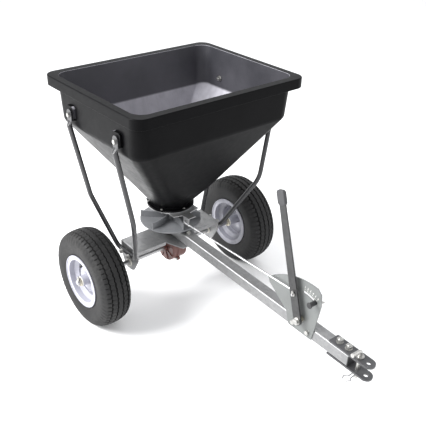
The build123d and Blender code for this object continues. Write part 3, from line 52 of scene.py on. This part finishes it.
# ---------------------------------------------------------------------------
# node-material helpers
# ---------------------------------------------------------------------------
class Mat:
    """A small builder round one Principled material."""

    def __init__(self, name, base=(0.5, 0.5, 0.5), rough=0.5, metal=0.0, **sockets):
        self.m = bpy.data.materials.new(name)
        self.m.use_nodes = True
        self.t = self.m.node_tree
        self.p = self.t.nodes["Principled BSDF"]
        self.p.inputs["Base Color"].default_value = (*base, 1)
        self.p.inputs["Roughness"].default_value = rough
        self.p.inputs["Metallic"].default_value = metal
        for k, v in sockets.items():
            self.p.inputs[k.replace("_", " ")].default_value = v
        self.co = self.node("ShaderNodeTexCoord").outputs["Object"]
        self.h = None

    def node(self, kind, **props):
        n = self.t.nodes.new(kind)
        for k, v in props.items():
            setattr(n, k, v)
        return n

    def link(self, a, b):
        self.t.links.new(a, b)

    def put(self, socket, v):
        if hasattr(v, "links") or isinstance(v, bpy.types.NodeSocket):
            self.link(v, socket)
        else:
            socket.default_value = v

    def scaled(self, x, y, z):
        n = self.node("ShaderNodeMapping")
        n.inputs["Scale"].default_value = (x, y, z)
        self.link(self.co, n.inputs["Vector"])
        return n.outputs["Vector"]

    def noise(self, scale, detail=3.0, rough=0.55, dist=0.0, vec=None, out="Fac"):
        n = self.node("ShaderNodeTexNoise")
        n.inputs["Scale"].default_value = scale
        n.inputs["Detail"].default_value = detail
        n.inputs["Roughness"].default_value = rough
        n.inputs["Distortion"].default_value = dist
        self.link(vec or self.co, n.inputs["Vector"])
        return n.outputs[out]

    def cells(self, scale, out="Distance", feature="F1", rand=1.0, vec=None):
        n = self.node("ShaderNodeTexVoronoi", feature=feature)
        n.inputs["Scale"].default_value = scale
        n.inputs["Randomness"].default_value = rand
        self.link(vec or self.co, n.inputs["Vector"])
        return n.outputs[out]

    def ramp(self, fac, stops, mode="LINEAR"):
        n = self.node("ShaderNodeValToRGB")
        n.color_ramp.interpolation = mode
        while len(n.color_ramp.elements) < len(stops):
            n.color_ramp.elements.new(0.5)
        for e, (pos, col) in zip(n.color_ramp.elements, stops):
            e.position = pos
            e.color = (*col, 1) if len(col) == 3 else col
        self.link(fac, n.inputs["Fac"])
        return n.outputs["Color"]

    def range(self, fac, a, b, c, d):
        n = self.node("ShaderNodeMapRange")
        for k, v in zip(("From Min", "From Max", "To Min", "To Max"), (a, b, c, d)):
            n.inputs[k].default_value = v
        self.link(fac, n.inputs["Value"])
        return n.outputs["Result"]

    def math(self, op, a, b=0.0, clamp=False):
        n = self.node("ShaderNodeMath", operation=op, use_clamp=clamp)
        self.put(n.inputs[0], a)
        self.put(n.inputs[1], b)
        return n.outputs[0]

    def mix(self, fac, a, b, blend="MIX"):
        n = self.node("ShaderNodeMix", data_type="RGBA", blend_type=blend)
        self.put(n.inputs["Factor"], fac)
        self.put(n.inputs[6], (*a, 1) if isinstance(a, tuple) and len(a) == 3 else a)
        self.put(n.inputs[7], (*b, 1) if isinstance(b, tuple) and len(b) == 3 else b)
        return n.outputs[2]

    def axis(self, k):
        n = self.node("ShaderNodeSeparateXYZ")
        self.link(self.co, n.inputs[0])
        return n.outputs[k]

    def base(self, c):
        self.link(c, self.p.inputs["Base Color"])

    def rough(self, c):
        self.link(c, self.p.inputs["Roughness"])

    def bump(self, height, strength=0.3, dist=0.001):
        n = self.node("ShaderNodeBump")
        n.inputs["Strength"].default_value = strength
        n.inputs["Distance"].default_value = dist
        self.link(height, n.inputs["Height"])
        if self.h is not None:
            self.link(self.h, n.inputs["Normal"])
        self.h = n.outputs["Normal"]
        self.link(self.h, self.p.inputs["Normal"])


def poly_black():
    """Rotomoulded black polyethylene: satin, faintly pebbled; the inside uses a separate copy painted lighter as
    light.
    """
    m = Mat("hopper_black_poly", rough=0.36)
    big = m.noise(9, 4)
    fine = m.noise(60, 3)
    col = m.ramp(big, [(0.3, (0.0018, 0.0018, 0.0021)), (0.7, (0.0036, 0.0036, 0.0041))])
    scuff = m.range(m.noise(1.0, 4, 0.6, vec=m.scaled(55, 55, 240)), 0.66, 0.78, 0.0, 0.35)
    scuff = m.math("MULTIPLY", scuff, m.range(m.noise(6, 3), 0.5, 0.7, 0.0, 1.0), True)
    m.base(m.mix(scuff, col, (0.014, 0.014, 0.016)))
    r = m.range(m.math("ADD", big, fine), 0.6, 1.4, 0.28, 0.44)
    m.rough(m.math("ADD", r, m.math("MULTIPLY", scuff, 0.2), True))
    m.bump(m.cells(620, feature="SMOOTH_F1"), 0.10, 0.0003)
    m.bump(m.noise(14, 2), 0.16, 0.0016)
    m.p.inputs["Specular IOR Level"].default_value = 0.055
    return m.m


def poly_inside():
    """The same plastic inside the hopper, painted lighter than the outside as light, with painted light on the
    up-facing slopes.
    """
    m = Mat("hopper_inside_poly", rough=0.5)
    big = m.noise(7, 5)
    geo = m.node("ShaderNodeNewGeometry")
    sep = m.node("ShaderNodeSeparateXYZ")
    m.link(geo.outputs["Normal"], sep.inputs[0])
    # painted light on the up-facing slopes, none on the upright walls, fading to painted shade lower in the throat
    upfacing_light_mask = m.range(sep.outputs[2], 0.12, 0.50, 0.0, 1.0)
    upfacing_light_mask.node.interpolation_type = "SMOOTHSTEP"
    depth_shade = m.range(m.axis(2), 0.42, 0.54, 0.25, 1.0)
    upfacing_light_mask = m.math("MULTIPLY", upfacing_light_mask, depth_shade)
    streak = m.noise(1.0, 4, 0.6, vec=m.scaled(42, 42, 9))
    painted_slope_light = m.math("MULTIPLY", upfacing_light_mask, m.range(m.math("ADD", m.math("MULTIPLY", m.noise(13, 5, 0.6), 0.6), m.math("MULTIPLY", streak, 0.4)), 0.3, 0.7, 0.55, 1.0), True)
    # the inside base is painted several times lighter than the outside plastic as light; the slopes mix toward a pale
    # painted light colour
    col = m.mix(painted_slope_light, m.ramp(big, [(0.3, (0.026, 0.026, 0.031)), (0.7, (0.044, 0.043, 0.051))]), (0.44, 0.43, 0.475))
    m.base(col)
    m.rough(m.range(m.math("ADD", big, painted_slope_light), 0.3, 1.3, 0.40, 0.62))
    m.bump(m.cells(620, feature="SMOOTH_F1"), 0.10, 0.0003)
    m.bump(m.noise(14, 2), 0.15, 0.0015)
    return m.m


def zinc(name, light=0.66, rough=0.42, spangle=95.0):
    """Galvanised sheet and tube: mottled crystal patches, dull in places."""
    m = Mat(name, metal=0.86)
    cell = m.cells(spangle, out="Color")
    grey = m.node("ShaderNodeRGBToBW")
    m.link(cell, grey.inputs[0])
    patch = m.noise(22, 5, 0.6)
    v = m.math("ADD", m.math("MULTIPLY", grey.outputs[0], 0.45), m.math("MULTIPLY", patch, 0.55))
    a, b = light * 0.84, light * 1.08
    m.base(m.ramp(v, [(0.25, (a, a, a * 1.01)), (0.55, (light, light * 1.003, light * 1.012)), (0.8, (b, b, b * 1.005))]))
    m.rough(m.range(v, 0.2, 0.85, rough + 0.10, rough - 0.08))
    m.bump(m.noise(420, 3), 0.12, 0.0002)
    m.bump(m.noise(30, 3), 0.12, 0.0006)
    return m.m


def bright_zinc(name="zinc_fastener", tint=(0.52, 0.515, 0.495)):
    m = Mat(name, metal=0.95)
    n = m.noise(180, 4, 0.6)
    dark = tuple(v * 0.72 for v in tint)
    m.base(m.ramp(n, [(0.3, dark), (0.6, tint)]))
    m.rough(m.range(m.noise(320, 3), 0.3, 0.7, 0.22, 0.42))
    m.bump(m.noise(600, 2), 0.10, 0.0001)
    return m.m


def bar_steel(name, along=0, tint=(0.58, 0.58, 0.585)):
    """Drawn or turned bar: fine lines along its length, a few oily marks."""
    m = Mat(name, metal=0.97)
    sc = [900.0, 900.0, 900.0]
    sc[along] = 12.0
    lines = m.noise(1.0, 3, 0.6, vec=m.scaled(*sc))
    blot = m.noise(28, 5, 0.6)
    dark = tuple(v * 0.68 for v in tint)
    m.base(m.ramp(m.math("ADD", m.math("MULTIPLY", lines, 0.4), m.math("MULTIPLY", blot, 0.6)), [(0.32, dark), (0.62, tint)]))
    m.rough(m.range(blot, 0.3, 0.75, 0.24, 0.44))
    m.bump(lines, 0.12, 0.0001)
    return m.m


def paint(name, col, rough=0.36, orange=0.2, chip=(0.28, 0.28, 0.28), wear=0.5, peel=240):
    """Sprayed enamel with orange peel, thinner and chipped on a few edges."""
    m = Mat(name, rough=rough)
    n = m.noise(11, 4)
    lo_ = tuple(v * 0.86 for v in col)
    hi_ = tuple(min(1, v * 1.08) for v in col)
    c = m.ramp(n, [(0.3, lo_), (0.7, hi_)])
    rub = m.math("MULTIPLY", m.range(m.noise(150, 5, 0.7), 0.62, 0.70, 0.0, wear), m.range(m.noise(16, 3), 0.5, 0.62, 0.0, 1.0), True)
    c = m.mix(rub, c, chip)
    m.base(c)
    m.rough(m.range(m.noise(45, 4), 0.3, 0.7, rough - 0.06, rough + 0.10))
    m.bump(m.noise(peel, 2), orange * 0.6, 0.0002)
    m.p.inputs["Coat Weight"].default_value = 0.25
    m.p.inputs["Coat Roughness"].default_value = 0.25
    return m.m


def rim_enamel():
    """Light lavender-white enamel; the side that faces the machine is painted darker as shade."""
    m = Mat("rim_enamel", rough=0.32)
    n = m.noise(12, 4)
    c = m.ramp(n, [(0.3, (0.33, 0.33, 0.38)), (0.7, (0.39, 0.39, 0.445))])
    geo = m.node("ShaderNodeNewGeometry")
    sep = m.node("ShaderNodeSeparateXYZ")
    m.link(geo.outputs["Normal"], sep.inputs[0])
    # faces turned toward the machine get a darker painted shade colour and more roughness
    side = m.math("MULTIPLY", sep.outputs[0], m.math("SIGN", m.axis(0)))
    inboard = m.range(side, 0.15, -0.30, 0.0, 1.0)
    inboard_painted_shade = m.ramp(m.noise(30, 5, 0.6), [(0.3, (0.20, 0.20, 0.23)), (0.7, (0.30, 0.30, 0.335))])
    c = m.mix(inboard, c, inboard_painted_shade)
    spots = m.math("MULTIPLY", m.range(m.noise(170, 4, 0.7), 0.64, 0.70, 0.0, 0.5), m.range(m.noise(20, 3), 0.5, 0.6, 0.0, 1.0), True)
    c = m.mix(spots, c, (0.30, 0.29, 0.29))
    m.base(c)
    m.rough(m.range(m.math("ADD", n, inboard), 0.3, 1.5, 0.28, 0.62))
    m.bump(m.noise(240, 2), 0.12, 0.0002)
    m.p.inputs["Coat Weight"].default_value = 0.25
    m.p.inputs["Coat Roughness"].default_value = 0.2
    return m.m


def rubber_tyre():
    m = Mat("tyre_rubber", rough=0.7)
    n = m.noise(24, 5, 0.6)
    fine = m.noise(260, 3)
    dusty = m.math("MULTIPLY", m.range(m.noise(9, 5, 0.6), 0.45, 0.70, 0.0, 0.5), m.range(m.noise(70, 4, 0.65), 0.4, 0.65, 0.2, 1.0), True)
    m.base(m.mix(dusty, m.ramp(n, [(0.3, (0.0065, 0.0065, 0.0069)), (0.7, (0.0125, 0.0123, 0.0125))]), (0.045, 0.043, 0.041)))
    m.rough(m.range(m.math("ADD", n, fine), 0.6, 1.4, 0.55, 0.78))
    m.bump(fine, 0.15, 0.0003)
    m.p.inputs["Specular IOR Level"].default_value = 0.32
    return m.m


def soft_plastic(name, col, rough=0.5, bumps=500, spec=0.5):
    m = Mat(name, rough=rough)
    n = m.noise(30, 4)
    m.base(m.ramp(n, [(0.3, tuple(v * 0.88 for v in col)), (0.7, tuple(min(1, v * 1.06) for v in col))]))
    m.rough(m.range(m.noise(80, 3), 0.3, 0.7, rough - 0.07, rough + 0.09))
    m.bump(m.noise(bumps, 2), 0.14, 0.0002)
    m.p.inputs["Specular IOR Level"].default_value = spec
    return m.m


def cast(name, col, rough=0.55):
    """Cast and greased gear metal."""
    m = Mat(name, rough=rough, metal=0.75)
    n = m.noise(70, 5, 0.65)
    m.base(m.ramp(n, [(0.3, tuple(v * 0.6 for v in col)), (0.7, col)]))
    m.rough(m.range(n, 0.3, 0.7, rough + 0.1, rough - 0.15))
    m.bump(m.noise(350, 4, 0.65), 0.35, 0.0004)
    return m.m


M = {
    "poly": poly_black(),
    "poly_in": poly_inside(),
    "zinc_frame": zinc("galvanised_frame", 0.30, 0.46),
    "zinc_sheet": zinc("galvanised_sheet", 0.34, 0.38, 70.0),
    "zinc_lever": zinc("dark_zinc_lever", 0.075, 0.42, 110.0),
    "support": paint("support_enamel", (0.016, 0.016, 0.018), 0.30, 0.25, (0.10, 0.10, 0.10), 0.5),
    "bolt": bright_zinc(),
    "yellow_zinc": bright_zinc("passivated_washer", (0.54, 0.50, 0.40)),
    "axle": bar_steel("axle_steel", 0),
    "shaft": bar_steel("shaft_steel", 2),
    "rod": bar_steel("rod_steel", 1, (0.62, 0.62, 0.63)),
    "rim": rim_enamel(),
    "gearbox": paint("gearbox_enamel", (0.115, 0.040, 0.032), 0.42, 0.5, (0.20, 0.17, 0.16), 0.7),
    "quadrant": paint("quadrant_enamel", (0.135, 0.142, 0.139), 0.38, 0.25, (0.36, 0.36, 0.36), 0.5),
    "hitch": paint("hitch_enamel", (0.045, 0.045, 0.048), 0.40, 0.3, (0.26, 0.26, 0.26), 0.8),
    "tyre": rubber_tyre(),
    "valve": soft_plastic("valve_rubber", (0.022, 0.022, 0.022), 0.6),
    "impeller": soft_plastic("impeller_plastic", (0.15, 0.154, 0.162), 0.42),
    "nylon": soft_plastic("natural_nylon", (0.74, 0.72, 0.65), 0.40),
    "vinyl": soft_plastic("black_vinyl", (0.020, 0.020, 0.021), 0.45, 700),
    "grip": soft_plastic("grip_vinyl", (0.045, 0.045, 0.048), 0.42, 520),
    "gear": cast("gear_metal", (0.32, 0.31, 0.30)),
    "mark": soft_plastic("scale_paint", (0.78, 0.78, 0.74), 0.5),
}

BY_NODE = {
    "hopper": "poly", "hopper_bolts": "bolt", "hopper_nuts": "bolt", "hopper_base_plate": "zinc_sheet",
    "base_bushing": "nylon", "base_plate_screws": "bolt", "gate_rails": "zinc_sheet", "rail_rivets": "bolt",
    "slide_gate": "zinc_sheet", "axle_carrier": "zinc_frame", "axle_bushings": "nylon", "drawbar": "zinc_frame",
    "drawbar_plugs": "vinyl", "drawbar_bolts": "bolt", "frame_nuts": "bolt", "left_hopper_support": "support",
    "right_hopper_support": "support", "support_bolts": "bolt", "gearbox_housing_left": "gearbox",
    "gearbox_housing_right": "gearbox", "gearbox_screws": "bolt", "gearbox_nuts": "bolt", "shaft_bushing": "nylon",
    "axle": "axle", "axle_washers": "yellow_zinc", "axle_cotters": "bolt", "crown_gear": "gear",
    "crown_gear_pin": "shaft", "left_rim": "rim", "left_wheel_disc": "rim", "left_hub_bushings": "nylon",
    "left_valve_stem": "valve", "right_rim": "rim", "right_wheel_disc": "rim", "right_hub_bushings": "nylon",
    "right_valve_stem": "valve", "wheel_drive_pin": "bolt", "impeller_shaft": "shaft", "pinion_gear": "gear",
    "shaft_cross_pins": "shaft", "thrust_washer": "yellow_zinc", "impeller": "impeller", "agitator": "shaft",
    "control_quadrant": "quadrant", "flow_lever": "zinc_lever", "lever_grip": "grip", "lever_pivot_bolt": "bolt",
    "lever_spacer": "yellow_zinc", "lever_pivot_nut": "bolt", "stop_bolt": "vinyl", "stop_wing_nut": "bolt",
    "flow_rod": "rod", "rod_clips": "bolt", "hitch_straps": "hitch", "hitch_bolts": "bolt", "hitch_nuts": "bolt",
    "hitch_pin": "bolt", "hitch_pin_clip": "rod", "left_tyre": "tyre", "right_tyre": "tyre",
}
for name, key in BY_NODE.items():
    o = NODES[name]
    o.data.materials.clear()
    o.data.materials.append(M[key])

# the hopper's inner walls take the inside material, painted lighter as light, face by face
hop = NODES["hopper"]
hop.data.materials.append(M["poly_in"])
(hx0, hy0, hz0), (hx1, hy1, hz1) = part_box("hopper")
hcx, hcy = (hx0 + hx1) / 2, (hy0 + hy1) / 2
for f in hop.data.polygons:
    c, n = f.center, f.normal
    inward = (hcx - c.x) * n.x + (hcy - c.y) * n.y
    if c.z > hz0 + 0.02 and n.z > -0.05 and inward > 0 and c.z < hz1 - 0.0005:
        edge_gap = max(abs(c.x - hcx) / (hx1 - hcx), abs(c.y - hcy) / (hy1 - hcy))
        if not (edge_gap > 0.97):
            f.material_index = 1


# ---------------------------------------------------------------------------
# tyres: ribbed tread with saw-tooth edges and fine sipes, over a ringed sidewall
# ---------------------------------------------------------------------------
def tyre_mesh(name, cad_name, body, mirror):
    (x0, y0, z0), (x1, y1, z1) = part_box(cad_name)
    cx, cy, cz = (x0 + x1) / 2, (y0 + y1) / 2, (z0 + z1) / 2
    R = (z1 - z0) / 2
    W = (x1 - x0) / 2
    k = R / 0.165
    # outside profile, from bead to bead (u across, r out), millimetres
    side = [(-40.3, 77.0), (-44.2, 80.8), (-44.3, 86.0), (-44.4, 90.8), (-45.8, 92.6), (-47.0, 94.2), (-47.3, 96.2),
            (-48.4, 99.6), (-49.6, 104.6), (-50.5, 110.6), (-51.1, 116.6), (-51.4, 122.0), (-51.5, 126.5),
            (-51.3, 131.0), (-50.6, 136.0), (-49.4, 141.0), (-47.8, 145.8), (-45.6, 150.2), (-43.0, 154.2)]
    tread_u = [-40.5, -39.4, -37.2, -34.8, -33.0, -31.6, -30.4, -27.6, -26.4, -25.0, -21.0, -16.5, -14.2, -12.6, -11.4,
               -8.6, -7.4, -5.0, -2.4, 0.0]
    tread_u = tread_u + [-u for u in reversed(tread_u[:-1])]

    def crown(u):
        return 165.0 - 8.0 * (abs(u) / 40.5) ** 2.6

    segs = 360
    teeth = 60
    prof = [(u, r, False) for u, r in side] + [(u, crown(u), True) for u in tread_u] + [(-u, r, False) for u, r in reversed(side)]
    verts = []
    for s in range(segs):
        a = 2 * pi * s / segs
        ph = s * teeth / segs
        saw = abs((ph % 1.0) - 0.5) * 2.0            # 0..1 zig-zag
        for u, r, tread in prof:
            uu, rr = u, r
            if tread:
                # groove edges wander sideways in a saw tooth
                swing = (saw - 0.5) * 2.6
                g = 0.0
                for gu in (-29.0, -10.0, 10.0, 29.0):
                    d = abs(u - gu)
                    if d < 3.0:
                        g = 1.0 if d < 1.8 else 0.0
                        uu = u + swing * (1 if gu > 0 else -1)
                        break
                rr = r - 6.5 * g
                # short sipes across the shoulder ribs
                if g == 0 and abs(u) > 32.0 and (s % 6) in (0,):
                    rr = r - 3.2
                if g == 0 and 13.5 < abs(u) < 25.5 and ((s + 3) % 6) == 0:
                    rr = r - 1.6
            else:
                # shoulder blocks step in and out, a few rings on the wall
                if 138 < r < 153:
                    rr = r - (1.1 if (s % 6) in (0, 1) else 0.0)
                    uu = u * (0.985 if (s % 6) in (0, 1) else 1.0)
                if 104 < r < 106 or 116 < r < 118.5:
                    uu = u * 0.988
            verts.append((cx + uu * k * 0.001 * (-1 if mirror else 1), cy + rr * k * 0.001 * sin(a), cz + rr * k * 0.001 * cos(a)))
    n = len(prof)
    faces = []
    for s in range(segs):
        t = (s + 1) % segs
        for i in range(n - 1):
            q = (s * n + i, s * n + i + 1, t * n + i + 1, t * n + i)
            faces.append(q if not mirror else q[::-1])
    # inner skin closes the bead so the casing has thickness
    inner = [(40.3, 77.0), (33.4, 77.2), (37.2, 92.0), (45.3, 112.0), (44.9, 132.0), (36.2, 149.6), (0.0, 155.6),
             (-36.2, 149.6), (-44.9, 132.0), (-45.3, 112.0), (-37.2, 92.0), (-33.4, 77.2), (-40.3, 77.0)]
    base = len(verts)
    m = len(inner) - 2
    for s in range(segs):
        a = 2 * pi * s / segs
        for u, r in inner[1:-1]:
            verts.append((cx + u * k * 0.001 * (-1 if mirror else 1), cy + r * k * 0.001 * sin(a), cz + r * k * 0.001 * cos(a)))
    for s in range(segs):
        t = (s + 1) % segs
        loop_s = [s * n + n - 1] + [base + s * m + i for i in range(m)] + [s * n]
        loop_t = [t * n + n - 1] + [base + t * m + i for i in range(m)] + [t * n]
        for i in range(len(loop_s) - 1):
            q = (loop_s[i], loop_s[i + 1], loop_t[i + 1], loop_t[i])
            faces.append(q if not mirror else q[::-1])
    me = bpy.data.meshes.new(name)
    me.from_pydata(verts, [], faces)
    me.update()
    bm = bmesh.new()
    bm.from_mesh(me)
    bmesh.ops.recalc_face_normals(bm, faces=bm.faces)
    bm.to_mesh(me)
    bm.free()
    o = bpy.data.objects.new(name, me)
    bpy.context.collection.objects.link(o)
    for p in me.polygons:
        p.use_smooth = True
    me.set_sharp_from_angle(angle=radians(32))
    me.materials.append(M["tyre"])
    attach(o, body)
    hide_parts(cad_name)
    return o


tyre_mesh("left_tyre_casing", "left_tyre", "left_wheel", False)
tyre_mesh("right_tyre_casing", "right_tyre", "axle_set", True)


# ---------------------------------------------------------------------------
# small mesh builders for added detail
# ---------------------------------------------------------------------------
def link_mesh(name, verts, faces, mat, body, smooth=35):
    me = bpy.data.meshes.new(name)
    me.from_pydata(verts, [], faces)
    bm = bmesh.new()
    bm.from_mesh(me)
    bmesh.ops.recalc_face_normals(bm, faces=bm.faces)
    bm.to_mesh(me)
    bm.free()
    for p in me.polygons:
        p.use_smooth = True
    me.set_sharp_from_angle(angle=radians(smooth))
    me.materials.append(M[mat])
    o = bpy.data.objects.new(name, me)
    bpy.context.collection.objects.link(o)
    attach(o, body)
    return o


def glyph(text, size):
    """The outline of one number as points and faces in its own plane."""
    cu = bpy.data.curves.new("glyph_" + text, "FONT")
    cu.body = text
    cu.size = size
    cu.extrude = 0.00012
    cu.align_x = "CENTER"
    cu.align_y = "CENTER"
    ob = bpy.data.objects.new("glyph_" + text, cu)
    me = bpy.data.meshes.new_from_object(ob)
    pts = [tuple(v.co) for v in me.vertices]
    fcs = [tuple(p.vertices) for p in me.polygons]
    bpy.data.objects.remove(ob)
    bpy.data.curves.remove(cu)
    bpy.data.meshes.remove(me)
    return pts, fcs


# the opening scale beside the quadrant's slot: raised ticks and plain numbers
px, py, pz = JOINTS["flow_lever_swing"]["pos_m"]
sx, sy, sz = JOINTS["wing_nut_turn"]["pos_m"]
ARM = math.hypot(sy - py, sz - pz)
TOP_A = math.atan2(sz - pz, sy - py)
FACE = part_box("control_quadrant")[0][0]
mv, mf = [], []


def add_plate(pts, fcs):
    n0 = len(mv)
    mv.extend(pts)
    mf.extend(tuple(i + n0 for i in f) for f in fcs)


def tick(a, r0, r1, half):
    """A thin raised bar on the plate along a radius."""
    c, s_ = cos(a), sin(a)
    ring = [(r0, -half), (r1, -half), (r1, half), (r0, half)]
    pts = []
    for x in (FACE + 0.00005, FACE - 0.00012):
        for r, w in ring:
            pts.append((x, py + r * c - w * s_, pz + r * s_ + w * c))
    add_plate(pts, [(0, 1, 2, 3), (7, 6, 5, 4), (0, 4, 5, 1), (1, 5, 6, 2), (2, 6, 7, 3), (3, 7, 4, 0)])


STEP = radians(5.3)
for k in range(6):
    a = TOP_A - STEP * (5 - k)
    tick(a, ARM + 0.0062, ARM + 0.0120, 0.00045)
    if k < 5:
        tick(a + STEP / 2, ARM + 0.0062, ARM + 0.0092, 0.00030)
    pts, fcs = glyph(str(k + 1), 0.0085)
    r = ARM + 0.0172
    cy_, cz_ = py + r * cos(a), pz + r * sin(a)
    # the number's own up points out along the radius
    uy, uz = cos(a), sin(a)
    add_plate([(FACE - 0.00006 - p[2], cy_ - p[0] * uz + p[1] * uy, cz_ + p[0] * uy + p[1] * uz) for p in pts], fcs)
link_mesh("quadrant_scale_marks", mv, mf, "mark", "frame", 20)


# ---------------------------------------------------------------------------
# stage, light, camera
# ---------------------------------------------------------------------------
floor_me = bpy.data.meshes.new("studio_floor")
S = 30.0
floor_me.from_pydata([(-S, -S, 0), (S, -S, 0), (S, S, 0), (-S, S, 0)], [], [(0, 1, 2, 3)])
floor = bpy.data.objects.new("studio_floor", floor_me)
bpy.context.collection.objects.link(floor)
fm = Mat("studio_floor", base=(0.92, 0.92, 0.92), rough=0.8)
fm.base(fm.ramp(fm.noise(0.8, 2), [(0.3, (0.925, 0.925, 0.925)), (0.7, (0.945, 0.945, 0.945))]))
floor_me.materials.append(fm.m)

world = bpy.data.worlds.new("studio")
bpy.context.scene.world = world
world.use_nodes = True
bg = world.node_tree.nodes["Background"]
bg.inputs["Color"].default_value = (0.97, 0.98, 1.0, 1)
bg.inputs["Strength"].default_value = 1.0


def area(name, loc, target, size, power, col=(1, 1, 1)):
    d = bpy.data.lights.new(name, "AREA")
    d.shape = "RECTANGLE"
    d.size, d.size_y = size
    d.energy = power
    d.color = col
    o = bpy.data.objects.new(name, d)
    bpy.context.collection.objects.link(o)
    o.location = loc
    o.rotation_euler = (Vector(target) - Vector(loc)).to_track_quat("-Z", "Y").to_euler()
    return o


MID = (0, 0, 0.35)
area("key_soft", (-1.4, -2.2, 3.0), MID, (2.4, 2.0), 14)
area("fill_right", (2.8, -1.6, 1.8), MID, (2.0, 2.0), 16)
area("top_back", (0.6, 2.0, 3.2), MID, (2.6, 1.6), 30)
area("back_left", (-2.4, 1.3, 2.3), (0.15, 0.3, 0.65), (1.8, 1.4), 215)

cam_d = bpy.data.cameras.new("camera")
cam = bpy.data.objects.new("camera", cam_d)
bpy.context.collection.objects.link(cam)
bpy.context.scene.camera = cam
AZ, EL, ROLL, DIST = radians(-40.87), radians(29.43), radians(1.68), 2.1329
fwd = Vector((-sin(AZ) * cos(EL), cos(AZ) * cos(EL), -sin(EL)))
axle_y = JOINTS["axle_spin"]["pos_m"][1]
target = Vector((0.0208, axle_y - 0.200, 0.3771))
right = Vector((cos(AZ), sin(AZ), 0))
up = right.cross(fwd)
r2 = right * cos(ROLL) + up * sin(ROLL)
u2 = up * cos(ROLL) - right * sin(ROLL)
rot = Matrix((r2, u2, -fwd)).transposed().to_4x4()
cam.matrix_world = Matrix.Translation(target - fwd * DIST) @ rot
cam_d.sensor_width = 36
cam_d.lens = 663.9 / 426 * 36
cam_d.clip_start = 0.05
cam_d.clip_end = 100

bpy.context.scene.view_settings.view_transform = "Standard"
bpy.context.scene.view_settings.exposure = 0.0
